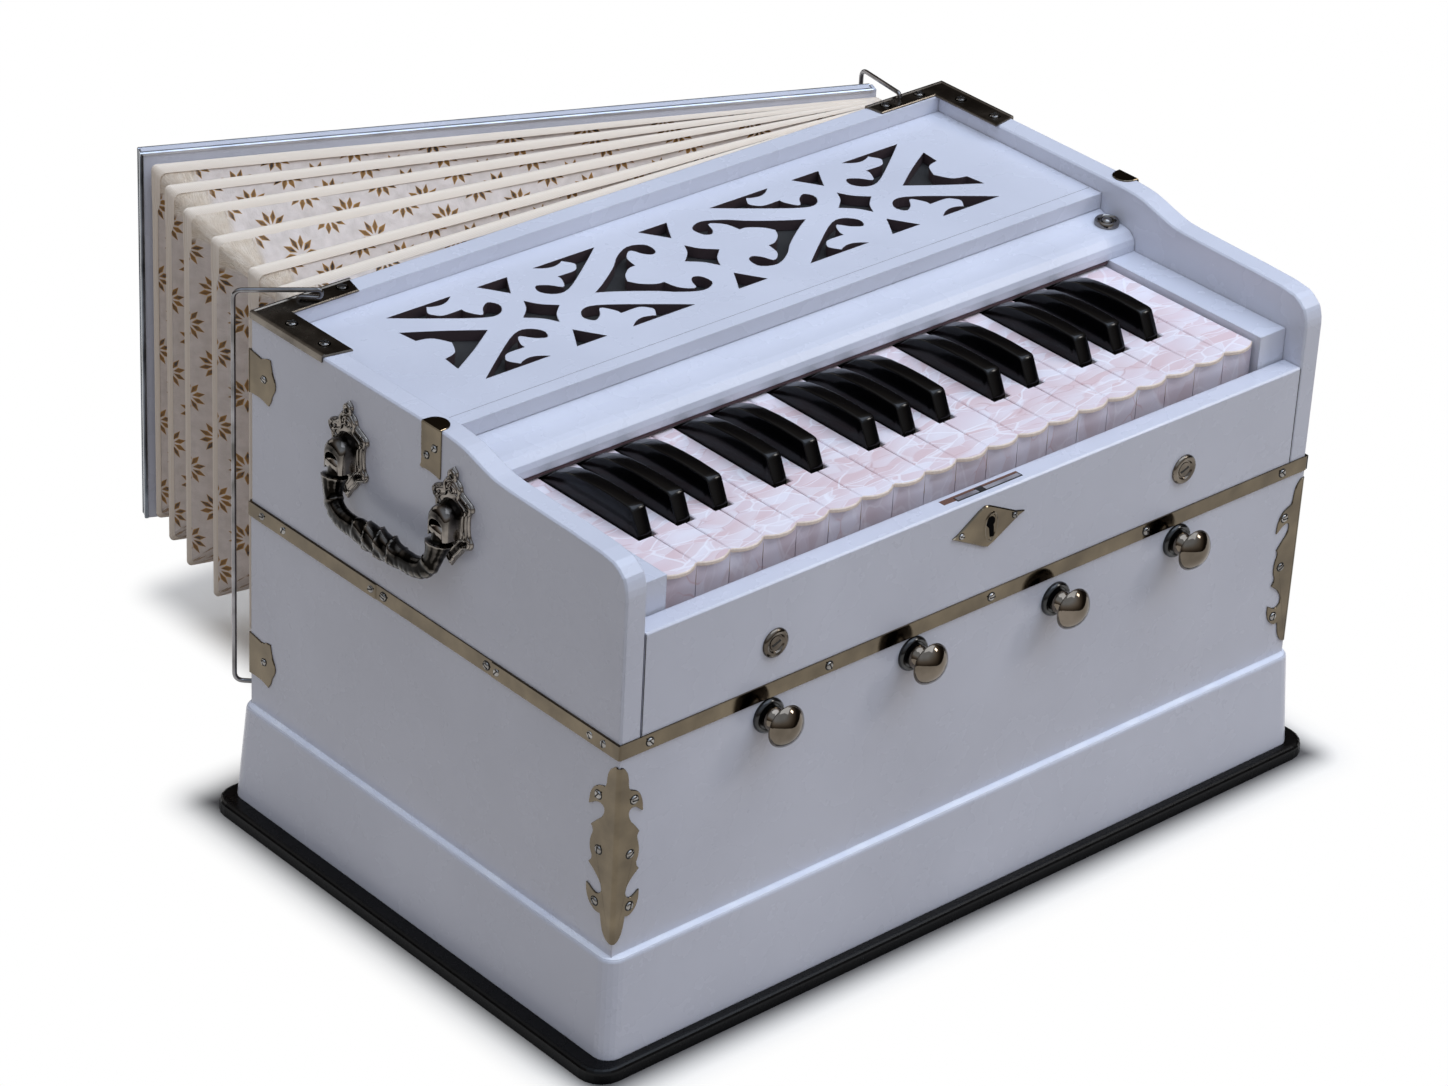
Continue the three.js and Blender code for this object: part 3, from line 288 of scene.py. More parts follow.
def spun(points, angle):
    """Points turned about the origin."""
    c, s = cos(angle), sin(angle)
    return [(u * c - v * s, u * s + v * c) for u, v in points]


def prism(bm, ring, low, high, caps="both", material=0):
    """An upright bar: a ring in plan, raised from one height to another."""
    skin(bm, [[at(x, y, z) for x, y in ring] for z in (low, high)], caps, material)


SCREW_RISE = 1.3
SCREW_FOOT = (1.22, -0.2), (1.22, 0.08)
SCREW_DOME = (1.0, -0.2), (1.0, 0.25), (0.9, 0.6), (0.65, 0.88), (0.3, 1.0)


def screw(bm, centre, out, radius, turn):
    """A round-head slotted screw: a low dome, with painted shade as its slot and as a ring round
    its foot.
    """
    put = frame_on(centre, out, (0, 0, 1) if abs(out[2]) < 0.9 else (0, 1, 0))
    for shares, material in ((SCREW_FOOT, 1), (SCREW_DOME, 0)):
        skin(bm, [[put(radius * share * cos(k * pi / 8), radius * share * sin(k * pi / 8),
                       SCREW_RISE * rise) for k in range(16)] for share, rise in shares],
             "last", material)
    slot = spun(oblong(0.82 * radius, -0.82 * radius, 0.16 * radius, -0.16 * radius), turn)
    skin(bm, [[put(u, v, SCREW_RISE * rise) for u, v in slot] for rise in (0.5, 1.04)], "last", 1)


BAND_Z = 186.8
band_screws = bmesh.new()
for y, out in ((-0.9, (0, -1, 0)), (DEPTH + 0.9, (0, 1, 0))):
    for x in (18, 134, 245, 357, 461):
        screw(band_screws, at(x, y, BAND_Z), out, 2.2, x)
for y in (11, 21, 92, 100, 182, 192, 265, 283):
    for side, end in ENDS:
        screw(band_screws, at(end + 0.9 * side, y, BAND_Z), (side, 0, 0), 2.2, y)
piece("band_screws", band_screws, 50, "case", bright_steel, dark_slot)

laps = bmesh.new()
for low, high in ((-0.9, 96), (188, 294.9)):
    for x, out in ((-0.9, -0.5), (480.9, 0.5)):
        ring = [(x, low), (x + out, low + 0.4), (x + out, high - 0.4), (x, high)]
        prism(laps, ring, 182.7, 190.8)
piece("band_laps", laps, 20, "case", old_nickel)
dress(old_nickel, "metal_band")


# Corner brackets, corner plates and clips.
# Pressed from the same nickel sheet, sawn to scrolled outlines, bent round a corner and held
# with small round-head screws. The plates on the top corners are thicker and nearly black.


def soften(points):
    """Cuts the blunt corners of an outline, twice over, and keeps its sharp ones."""
    for _ in range(2):
        kept = []
        for k, point in enumerate(points):
            before, here = Vector(points[k - 1]), Vector(point)
            after = Vector(points[(k + 1) % len(points)])
            if 0.12 < (here - before).angle(after - here, 0) < 1.25:
                kept += [tuple(here.lerp(before, 0.25)), tuple(here.lerp(after, 0.25))]
            else:
                kept.append(tuple(point))
        points = kept
    return points


def sheet_cut(bm, outline, put, thick, edge=0.25):
    """A flat piece cut from sheet: its outline raised by thick, with a narrow bevel at the top."""
    count = len(outline)
    low, high = [[bm.verts.new(put(u, v, rise)) for u, v in outline] for rise in (0, thick - edge)]
    area = sum(outline[k - 1][0] * outline[k][1] - outline[k][0] * outline[k - 1][1]
               for k in range(count))
    inner = []
    for k in range(count):
        before, here, after = [Vector(outline[(k + n) % count]) for n in (-1, 0, 1)]
        along = (here - before).normalized() + (after - here).normalized()
        along = along.normalized() if along.length > 1e-6 else (after - here).normalized()
        spot = here + Vector((-along.y, along.x)) * (1 if area > 0 else -1) * edge
        inner.append(bm.verts.new(put(spot.x, spot.y, thick)))
    for k in range(count):
        n = (k + 1) % count
        bm.faces.new((low[k], low[n], high[n], high[k]))
        bm.faces.new((high[k], high[n], inner[n], inner[k]))
    for a, b, c in tessellate_polygon([[Vector((u, v, 0)) for u, v in outline]]):
        bm.faces.new((inner[a], inner[b], inner[c]))
        bm.faces.new((low[c], low[b], low[a]))


# One leaf of a front bracket, with its height. The front leaf is narrower than the side leaf.
BRACKET = soften([
    (1, 178), (3, 177.6), (6, 174.6), (7.4, 171.4), (8, 163.7), (12, 162.6), (16.6, 160.5),
    (19.8, 155.1), (20.3, 148.5), (17.7, 150), (15, 152.1), (11.5, 152.9), (9, 151.8), (8.6, 149.1),
    (10.6, 145), (13.6, 142.5), (18.2, 137.5), (16.1, 135.3), (18.5, 129.4), (18.5, 123.4),
    (16.1, 119.2), (19, 115.6), (14.1, 112.3), (9.7, 108), (8.3, 104.3), (10.1, 101), (13.8, 100),
    (18.2, 102.4), (19.9, 103.1), (20, 98.3), (17.4, 92.5), (12.4, 89.5), (8.9, 90.2), (8.2, 85.7),
    (6.9, 81.1), (4.1, 77), (1, 76.2)])
BACK_BRACKET = soften([
    (-1, -12.3), (6.5, -12), (11, -12.4), (15.6, -14), (17.6, -11), (18.6, -7), (21.3, -3),
    (21.3, 1.5), (18.8, 5.5), (17.8, 9.5), (17, 12.7), (13.5, 12.4), (10, 10.6), (6, 11.4),
    (-1, 12.5)])
CLIP = soften([(-7.6, 0.6), (7.6, 0.6), (7.6, -20), (7.4, -26), (2.5, -25), (-4.5, -24.6),
               (-6.8, -25.6), (-8.4, -24.6), (-7.2, -22), (-7.6, -12)])
CLIP_TAB = soften([(-7.2, -0.6), (7.2, -0.6), (7, 4.5), (4.6, 8), (0, 9.6), (-4.6, 8), (-7, 4.5)])
FOLD = [(1.1 - 2.1 * sin(radians(a)), 1.1 - 2.1 * cos(radians(a))) for a in range(0, 91, 10)]
CASE_TOP = 299

brackets, bracket_screws = bmesh.new(), bmesh.new()
for side, end in ENDS:
    narrower, nearer = (0.77, 0.72) if side < 0 else (0.86, 0.95)
    sheet_cut(brackets, BRACKET, lambda u, v, h: at(end - side * u * narrower, -h, v), 0.9)
    sheet_cut(brackets, BRACKET, lambda u, v, h: at(end + side * h, u, v), 0.9)
    for z, across in ((157, 13.4), (126.2, 11.7), (95.6, 13.1)):
        screw(bracket_screws, at(end - side * across * nearer, -0.8, z), (0, -1, 0), 2.3, z)
        screw(bracket_screws, at(end + side * 0.8, across, z - 0.3), (side, 0, 0), 2.3, z + 1)
    prism(brackets, [(end - side * u, v) for u, v in FOLD + [(0.4, 0.4)]], 76.4, 177.6)
for side, end in ENDS:
    for z in (266.5, 99.5):
        sheet_cut(brackets, BACK_BRACKET, lambda u, v, h: at(end + side * h, DEPTH - u, z + v), 0.8)
        screw(bracket_screws, at(end + side * 0.7, 282, z), (side, 0, 0), 1.9, z)
        if z > 200:
            sheet_cut(brackets, BACK_BRACKET,
                      lambda u, v, h: at(end - side * u, DEPTH + h, z + v), 0.8)
for side, end in ENDS:
    sheet_cut(brackets, CLIP, lambda u, v, h: at(end + side * h, 147 - u, 298.6 + v), 0.8)
    sheet_cut(brackets, CLIP_TAB, lambda u, v, h: at(end - side * v, 147 - u, CASE_TOP + h), 0.8)
    for y, z, turn in ((144, 288, 1.0), (150, 282, 2.0)):
        screw(bracket_screws, at(end + side * 0.7, y, z), (side, 0, 0), 1.9, turn)
piece("nickel_brackets", brackets, 25, "case", old_nickel)

corner_plates = bmesh.new()
for outline in ([(0, 294.6), (62, 294.6), (58.5, 281), (16.4, 281), (16.4, 231), (0, 234)],
                [(480, 294.6), (422, 294.6), (424, 283), (464.6, 283), (464.6, 234), (480, 237)]):
    sheet_cut(corner_plates, outline, lambda u, v, h: at(u, v, CASE_TOP + h), 1.2, 0.5)
ROLLED_EDGE = ((-1.6, 1.2), (-1.0, 1.75), (-0.1, 1.7), (0.75, 1.2), (0.95, 0.4), (0.95, -2.4),
               (0.15, -2.4), (0.1, 0))
for a, b, (out_x, out_y) in (
        ((0, 234), (0, 294), (-1, 0)), ((480, 237), (480, 294), (1, 0)),
        ((0.5, 294), (62, 294), (0, 1)), ((479.5, 294), (422, 294), (0, 1))):
    skin(corner_plates, [[at(x + out_x * w, y + out_y * w, CASE_TOP + h) for w, h in ROLLED_EDGE]
                         for x, y in (a, b)])
piece("corner_plates", corner_plates, 30, "case",
      finish("dark_lacquered_steel", plating, "#57514b", "#7c756c", 0.16, 0.3, 0.05))
for x, y in ((53, 288), (8.4, 271), (8.4, 244), (432, 288.6), (457.5, 288.6), (472, 270),
             (472, 243)):
    for turn in (x, x + pi / 2):
        screw(bracket_screws, at(x, y, CASE_TOP + 1.1), (0, 0, 1), 2.8, turn)
piece("bracket_screws", bracket_screws, 50, "case", bright_steel, dark_slot)


# Lock fittings on the front panel.
# Two slotted cup screws hold the key frame. A pressed nickel diamond frames the keyhole, and the
# lock's strike lies in a shallow routed slot in the panel's top edge, its bare wood showing.


def turned(bm, put, profile, sides=40, caps="last"):
    """A turned form: (radius, out) pairs spun round the axis of put."""
    skin(bm, [[put(r * cos(2 * pi * k / sides), r * sin(2 * pi * k / sides), out)
               for k in range(sides)] for r, out in profile], caps)


CUP = ((1, 0), (1, 0.7), (0.93, 1.6), (0.8, 2.0), (0.66, 1.6), (0.6, 0.7), (0.56, 0.5), (0.5, 0.55),
       (0.47, 1.0), (0.2, 1.25))
cups = bmesh.new()
for x, z, radius in ((97, 213, 8.0), (382, 215, 8.3)):
    put = frame_on(at(x, 0, z), (0, -1, 0), (0, 0, 1))
    turned(cups, put, [(radius * share, out) for share, out in CUP])
    # The slot is a dark bar of painted shade.
    slot = spun(oblong(1.9, -1.9, 0.5, -0.5), radians(28))
    skin(cups, [[put(u * radius / 5, v * radius / 7, out) for u, v in slot] for out in (0.6, 1.3)],
         material=1)
piece("cup_screws", cups, 40, "case",
      finish("cup_nickel", plating, "#4b443d", "#80776c", 0.12, 0.28, 0.1), dark_slot)

diamond, keyhole, plate_screws = bmesh.new(), bmesh.new(), bmesh.new()
sheet_cut(diamond, [
    (213.9, 230.3), (217.5, 228.4), (236.4, 218.6), (239.1, 217.8), (243, 219.4), (260.5, 229.2),
    (264.2, 230.6), (258, 232.4), (238.6, 241.9), (235.2, 242.5), (231, 240.6), (217.4, 231.9)],
    lambda u, v, h: at(u, -h, v), 1.1, 0.5)
skin(diamond, [[at(240 + (4.3 + w) * cos(pi * k / 20), -1.0 - h,
                   229.4 + (8.0 + w) * sin(pi * k / 20)) for k in range(40)]
               for w, h in ((-0.8, 0), (-0.45, 0.45), (0, 0.6), (0.5, 0.4), (0.9, 0))], "none")
piece("keyhole_plate", diamond, 30, "case", old_nickel)
hole = [(239.6 + 3.0 * cos(radians(a)), 232.4 + 3.0 * sin(radians(a))) for a in range(-50, 231, 20)]
hole += [(239.0, 228.6), (239.9, 223.6), (242.6, 223.2), (242.0, 229.0)]
sheet_cut(keyhole, hole[::-1], lambda u, v, h: at(u, -1.05 - h, v), 0.35, 0.05)
piece("keyhole", keyhole, 30, "case",
      finish("lock_case_shadow", mottled, 400, "#010101", "#050404",
             {"Roughness": 0.9, "Specular IOR Level": 0.05}))
for x in (219.6, 256.6):
    screw(plate_screws, at(x, -1.0, 230.6), (0, -1, 0), 1.6, x)
piece("keyhole_screws", plate_screws, 50, "case", bright_steel, dark_slot)

# Raw wood behind and beside the strike, the gap round it, its steel and the bolt's slot. The
# gap and the slot are dark strips of painted shade.
strike, end_gaps = bmesh.new(), bmesh.new()
for x0, x1, y0, y1, rise, material in (
        (212, 265.6, 7.4, 9.4, 0.12, 1), (212, 221, 5.3, 7.5, 0.12, 1),
        (220.4, 265.4, 4.0, 7.6, 0.25, 2), (221, 264.5, 4.5, 7.2, 0.4, 0),
        (235.6, 240.2, 4.2, 8.4, 0.5, 2)):
    prism(strike, oblong(x0, x1, y0, y1), 248, 248 + rise, "last", material)
piece("lock_strike", strike, 30, "case",
      finish("milled_strike_steel", plating, "#c5c9d2", "#e3e6ec", 0.3, 0.45, 0.1),
      finish("stained_raw_wood", mottled, 300, "#4c3026", "#7d5644",
             {"Roughness": 0.7}), dark_slot)
# Dark strips of painted shade in the gaps beside the front panel's ends.
for x in (13.05, 466.5):
    prism(end_gaps, oblong(x, x + 0.45, 0.0, -0.06), 191.5, 247.6)
piece("panel_end_gap_shade", end_gaps, 30, "case", dark_slot)


# Stops.
# Turned brass knobs plated in dark nickel and polished like a mirror, each on a steel rod
# through a black lacquered rosette that is pinned to the case.

ROSETTE = (9.5, 0), (9.6, 1.0), (9.2, 2.0), (8.4, 2.6), (7.4, 2.5), (6.9, 2.0), (6.2, 2.0)
KNOB = ((3, -60), (3, 2.0), (5.0, 2.1), (6.0, 2.9), (6.4, 4.2), (6.2, 5.8), (5.3, 7.4), (4.4, 8.6),
        (4.3, 9.5), (5.0, 10.6), (7.8, 11.6), (10.6, 12.6), (11.4, 13.3), (11.4, 14.0),
        (10.5, 15.4), (8.8, 17.2), (6.4, 18.9), (3.8, 20.2), (1.6, 20.85), (0.4, 21.0))
dark_nickel = finish("polished_dark_nickel", plating, "#5f574d", "#80766b", 0.04, 0.1, 0.02)
rosettes = bmesh.new()
for number, (x, z) in enumerate(((95, 172.5), (192, 172.5), (293, 168.5), (382, 172.5)), 1):
    name, knob = f"stop_{number}", bmesh.new()
    put = frame_on(at(x, 0, z), (0, -1, 0), (0, 0, 1))
    turned(rosettes, put, ROSETTE)
    turned(knob, put, KNOB, caps="both")
    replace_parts(piece(name + "_knob", knob, 40, name, dark_nickel), name)
piece("stop_rosettes", rosettes, 40, "case",
      finish("black_lacquer", mottled, 300, "#050505", "#121214", {"Roughness": 0.16}))


# Keys.
# Lime-wood levers. The whites carry pearl celluloid with a thin cream edge at their scalloped
# noses, and a wool-faced pallet under the tail. The blacks are ebonised and polished.


def pearl(add, front):
    # Folded flakes 10 to 30 mm long, pink and silver, each shaded from one side to the other,
    # with thin white creases between them and a few brown-pink veins.
    # The fronts lie in shade, so they are greyer and their creases fainter.
    tones, coarse, fine = (("#e0c8cb", "#e9e0e8"), ("#e4c9cb", "#f3eff4")), 0.62, 0.5
    if front:
        tones, coarse, fine = (("#ccbcc4", "#d9d2dc"), ("#ccb9bf", "#e2dce6")), 0.2, 0.12
    place = add("TexCoord").outputs["Object"]
    if front:
        place = add("VectorMath", [place, (1.5, 1.5, 0.5)], "MULTIPLY")
    bent = add("TexNoise", {"Vector": place, "Scale": 42.0, "Detail": 1.0})
    pushed = add("VectorMath", [bent.outputs["Color"], (0.011, 0.011, 0.011), place],
                 "MULTIPLY_ADD")
    rims, flakes = [], []
    for channel, turn, stretch, slant, span in (
            (0, 0.6, (32, 92, 70), 0.7, (0.1, 0.9)), (1, 2.2, (44, 130, 86), 0.9, (0.15, 0.95))):
        lain = add("Mapping", {"Vector": pushed, "Rotation": (0, 0, turn), "Scale": stretch})
        cell = add("TexVoronoi", {"Vector": lain, "Scale": 1.0, "Smoothness": 0.3},
                   feature="SMOOTH_F1")
        rims.append(add("TexVoronoi", {"Vector": lain, "Scale": 1.0}, feature="DISTANCE_TO_EDGE"))
        off = add("VectorMath", [lain, cell.outputs["Position"]], "SUBTRACT")
        slope = add("SeparateXYZ", [off]).outputs[1]
        chance = add("SeparateColor", [cell.outputs["Color"]]).outputs[channel]
        tint = add("Math", [slope, slant, chance], "MULTIPLY_ADD")
        flakes.append(two_tone(add, tint, *tones[channel], *span))
    colour = add("Mix", {0: 0.5, 6: flakes[0], 7: flakes[1]}, data_type="RGBA")
    creased, veined = [add("MapRange", [bent, *ends]) for ends in ((0.36, 0.48), (0.45, 0.36))]
    for rim, near, far, share, where, tone in (
            (rims[0], 0.0136, 0.034, coarse, creased, "#fbf8fd"),
            (rims[1], 0.0112, 0.028, fine, creased, "#f8f4fa"),
            (rims[1], 0.0, 0.03, 0.5, veined, "#c08f8f")):
        line = add("MapRange", [rim, near, far, share, 0.0])
        line = add("Math", [line, where], "MULTIPLY")
        colour = add("Mix", {0: line, 6: colour, 7: linear(tone)}, data_type="RGBA")
    return add("BsdfPrincipled", {
        "Base Color": colour, "Roughness": 0.2, "Coat Weight": 0.25, "Coat Roughness": 0.06})


WHITE_LOOK = (finish("pearl_celluloid", pearl, False), finish("pearl_celluloid_front", pearl, True),
              finish("celluloid_cut_edge", mottled, 200, "#d9c0aa", "#efe0d2",
                     {"Roughness": 0.3}), softwood)
ebony = finish("polished_black_keys", mottled, 90, "#020203", "#040405",
               {"Roughness": 0.16, "Specular IOR Level": 0.28}, 4.0)
WHITE_TOP, FACING_FOOT, KEY_BOTTOM = 263.0, 260.4, 250.0
NOSE_BACK, PALLET_FRONT = 22, 200
for number in range(1, 20):
    name = f"white_key_{number:02d}"
    lever = bmesh.new()
    lever.from_mesh(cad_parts[name].data)
    for face in lever.faces:
        spot = face.calc_center_median() * 1000
        back, height = spot.y + DEPTH / 2, spot.z + 4
        if back > PALLET_FRONT and height < KEY_BOTTOM - 0.2:
            face.material_index = 3
        elif height > FACING_FOOT:
            face.material_index = 0 if face.normal.z > 0.95 or back > NOSE_BACK else 2
        else:
            face.material_index = 1 if back < NOSE_BACK else 2
    # The front of the key is a little wider than in the solids, and its facing wider still.
    middle = sum(corner.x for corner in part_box(name)) / 2
    for corner in lever.verts:
        if corner.co.y < -0.098:
            spread = 0.00043 if corner.co.z * 1000 + 4 > FACING_FOOT else 0.0002
            corner.co.x += copysign(spread, corner.co.x - middle)
    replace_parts(piece(name + "_lever", lever, 30, name, *WHITE_LOOK), name)

# A black key from the side, as distance from the front and rise over the whites.
BLACK_SIDE = ((50.8, 0.5), (51.3, 1.6), (56.9, 11.4), (57.7, 12.7), (58.9, 13.35), (61.5, 13.6),
              (74, 14.1), (86, 13.9), (97, 13.1), (106, 11.6), (115, 8.0), (123, 1.5), (126, -1.0),
              (205, -1.0), (235, -1.0))
BLACK_HALF = 5.2
for number in range(1, 14):
    name = f"black_key_{number:02d}"
    low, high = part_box(name)
    middle = (low.x + high.x) * 500 + WIDTH / 2
    lever, rings = bmesh.new(), []
    for y, rise in BLACK_SIDE:
        height = WHITE_TOP + rise - KEY_BOTTOM
        edge = min(0.95, 0.4 * height)
        half = [(-BLACK_HALF, 0), (-BLACK_HALF, 0.35 * height), (-4.7, height - edge)]
        half += [(-4.55 + edge * (1 - cos(radians(turn))), height - edge * (1 - sin(radians(turn))))
                 for turn in (20, 45, 70, 90)]
        path = half + [(0, height + 0.25)] + [(-u, v) for u, v in half[::-1]]
        # The nose is rounded in plan, so its sides start further back.
        fade = max(0.0, 1 - (y - 50.8) / 11) ** 1.3
        rings.append([at(middle + u, y + 2.4 * fade * abs(u / BLACK_HALF) ** 3, KEY_BOTTOM + v)
                      for u, v in path])
    skin(lever, rings)
    prism(lever, oblong(middle - BLACK_HALF, middle + BLACK_HALF, 205, 235), low.z * 1000 + 4,
          KEY_BOTTOM - 0.01, material=1)
    made = piece(name + "_lever", lever, 40, name, ebony, softwood)
    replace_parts(made, name)


# Key rail's felt and button, and the top board's cloth.
# A strip of dark red felt under the rail stops the keys. Dark cloth is glued behind the
# fretwork, and a small plated button sits at the rail's right end.


def woven(add, dark, light, pitch, rough=0.9, strength=0.5):
    """Plain weave, its threads pitch millimetres apart."""
    place = position(add, 1000 / pitch)
    waves = [add("TexWave", {"Vector": place, "Scale": 0.5, "Distortion": 0.6},
                 bands_direction=way).outputs["Fac"] for way in "XY"]
    threads = add("Math", waves, "MULTIPLY")
    return add("BsdfPrincipled", {
        "Base Color": two_tone(add, threads, dark, light), "Roughness": rough, "Sheen Weight": 0.2,
        "Normal": add("Bump", {"Height": threads, "Strength": strength,
                               "Distance": 0.0003})})


felt, button, seam, cloth = [bmesh.new() for _ in range(4)]
skin(felt, [[at(x, y, z) for y, z in ((125.0, 263.9), (124.5, 265.0), (125.0, 265.95),
                                      (134, 265.95), (134, 263.9))] for x in (38, 446)])
piece("rail_felt", felt, 30, "case", finish("red_wool_felt", woven, "#2a1418", "#4f2a30", 1.0))
turned(button, frame_on(at(460, 141, 277.7), (0, 0, 1), (0, 1, 0)), (
    (6.9, 0), (6.9, 2.3), (6.4, 3.1), (5.6, 3.3), (5.0, 2.9), (4.7, 2.0), (4.5, 1.3), (3.1, 1.3),
    (3.0, 2.2), (2.5, 3.1), (1.5, 3.6), (0.3, 3.8)))
piece("rail_button", button, 40, "case", bright_steel)

# The sawn walls of the fretwork's openings are darker than the board's face.
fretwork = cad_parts["top_board"].data.copy()
fretwork.name = "fretwork_board"
fretwork.materials.clear()
for wall in fretwork.polygons:
    heights = [fretwork.vertices[corner].co.z for corner in wall.vertices]
    inside = abs(wall.center.x) < 0.212 and 0.016 < wall.center.y < 0.13
    wall.material_index = int(inside and max(heights) - min(heights) > 0.002)
umber = finish("umber_sawn_edge", mottled, 250, "#33272a", "#4d3e41", {"Roughness": 0.6})
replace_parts(placed("fretwork_board", fretwork, "case", enamel, umber),
            "top_board")
prism(seam, oblong(14, 466, 161.6, 161.82), 289.9, 290.03, "last")
piece("board_seam", seam, 30, "case", umber)
COLUMNS, ROWS = 40, 10
grid = [[cloth.verts.new(at(30 + 420 * i / COLUMNS, 166 + 110 * j / ROWS, 283.6))
         for i in range(COLUMNS + 1)] for j in range(ROWS + 1)]
for near, far in zip(grid, grid[1:]):
    for i in range(COLUMNS):
        cloth.faces.new((near[i], near[i + 1], far[i + 1], far[i]))
backing = piece("fretwork_cloth", cloth, 30, "case",
                finish("dark_backing_cloth", woven, "#080606", "#161010", 1.2))


# Side wires.
# Spring-steel wire, bent by hand and polished. Both ends turn in holes of the back, so each
# wire swings over the bellows board to hold it shut.


def rounded(corners, bends, steps=8):
    """A path through corners, with each inner corner turned into an arc-like curve."""
    path = [corners[0]]
    for before, here, after, bend in zip(corners, corners[1:], corners[2:], bends):
        near, far = [here + (other - here).normalized() * bend / 1000 for other in (before, after)]
        for t in [step / steps for step in range(steps + 1)]:
            path.append(near * (1 - t) ** 2 + here * (2 * t * (1 - t)) + far * t ** 2)
    return path + [corners[-1]]


def sweep(bm, path, normal, radius, sides=16):
    """A bar along a path that lies in one plane. radius(k, angle) is in millimetres, and angle
    is counted from the in-plane side direction towards the plane's normal."""
    normal, turns = Vector(normal).normalized(), [2 * pi * j / sides for j in range(sides)]
    rings = []
    for k, point in enumerate(path):
        ahead = (path[min(k + 1, len(path) - 1)] - path[max(k - 1, 0)]).normalized()
        side = ahead.cross(normal).normalized()
        sizes = [(angle, radius(k, angle) / 1000) for angle in turns]
        rings.append([point + side * (cos(angle) * size) + normal * (sin(angle) * size)
                      for angle, size in sizes])
    skin(bm, rings)


# Each wire's bends as (reach from the pivot, height), with their radii. The left one doubles
# back at its top.
WIRE_FOOT = (0, 72.3), (0, 90)
spring_steel = finish("polished_spring_steel", plating, "#5d5b59", "#99979a", 0.06, 0.16, 0.03)
for name, x, degrees, bent, bends in (
        ("left_wire", 26.6, 47, ((0, 285), (0, 302), (-12, 302), (-12, 306.4), (32.7, 303.5),
                                 (32.7, 72.3)), (2.4, 2.15, 2.15, 5, 5, 2.4)),
        ("right_wire", 444, -8, ((0, 285), (0, 303.5), (37, 303.5), (37, 72.3)),
         (2.4, 5, 5, 2.4))):
    out = Vector((-sin(radians(degrees)), cos(radians(degrees)), 0))
    corners = [at(x, 290.4, z) + out * reach / 1000 for reach, z in bent + WIRE_FOOT]
    wire = bmesh.new()
    sweep(wire, rounded(corners, bends), out.cross(Vector((0, 0, 1))), lambda k, a: 1.3)
    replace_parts(piece(name + "_rod", wire, 60, name, spring_steel), name)


# Handles.
# Cast in zinc, plated in antique nickel and rubbed, so hollows stay brown-black and high places
# shine: their lighter colour is rubbed wear and also a painted highlight. Each bail hangs from pins
# in two hooded leaf plates, which are screwed to the case.


def antique_cast(add):
    # The worn share grows on convex places, as rubbed wear and as a painted highlight; hollows keep
    # their brown patina.
    worn = add("TexNoise", {"Vector": position(add, 160), "Scale": 1.0, "Detail": 4.0})
    high = add("MapRange", [add("NewGeometry").outputs["Pointiness"], 0.5, 0.57, 0.0, 0.6])
    rubbed_and_highlit = add("Math", [worn, 0.5, high], "MULTIPLY_ADD", use_clamp=True)
    return add("BsdfPrincipled", {
        "Base Color": two_tone(add, rubbed_and_highlit, "#0e0c0a", "#928b84", 0.36, 1.0), "Metallic": 1.0,
        "Roughness": add("MapRange", [worn, 0.0, 1.0, 0.07, 0.22]),
        "Normal": add("Bump", {"Height": worn, "Strength": 0.15, "Distance": 0.0005})})


cast = finish("antique_nickel_cast", antique_cast)
LEAF_HALF = [(0, 27.5), (3.2, 25), (2.3, 21.6), (6.4, 19.6), (6.8, 16), (10, 14.4), (15.4, 12),
             (16, 8.6), (12.6, 6.4), (12.8, -6), (16, -9), (14.4, -13), (9.6, -14.6), (7, -18.6),
             (3.6, -22), (0, -27.5)]
LEAF = soften(LEAF_HALF + [(-u, v) for u, v in LEAF_HALF[-2:0:-1]])
# Raised curls on a plate: centre, radius, first and last angle, thickness.
CURLS = ((0, 23.2, 2.4, 0, 360, 0.8), (0, 15.2, 5.6, -20, 200, 0.9), (0, 15.2, 3.4, 0, 180, 0.7),
         (0, 15.4, 1.6, 0, 360, 0.8), (-12, 9.8, 2.2, 60, 330, 0.8), (12, 9.8, 2.2, -150, 120, 0.8),
         (-12, -9.6, 2.0, 30, 300, 0.8), (12, -9.6, 2.0, -120, 150, 0.8),
         (0, -21.5, 2.4, 180, 360, 0.9))
# A hood from its foot outwards: distance from the wall, half width, top.
HOOD = ((0.5, 9.6, 269), (1.6, 8.6, 267.6), (3, 7.9, 266.6), (5, 7.65, 266.1), (7.5, 7.6, 265.8),
        (9.4, 7.4, 265.2), (10.8, 6.9, 264), (11.5, 6.2, 262.5), (11.8, 5.7, 261.2))
PLATE_Z, HOOD_Z = 257.5, 249
PIN_YS, PIN_Z, PIN_OUT = (128.5, 211.5), 252, 8.2
GRIP_Y, CUP_FOOT, CUP_TOP = 170, 231, 246.1


def arch(half, top):
    """Half an oval over two straight legs, as (across, height) from left foot to right foot."""
    crown = min(half * 0.95, top - HOOD_Z)
    oval = [(half * cos(a), top - crown + crown * sin(a) ** 0.8)
            for a in [pi * (1 - k / 14) for k in range(15)]]
    return [(-half, HOOD_Z), *oval, (half, HOOD_Z)]


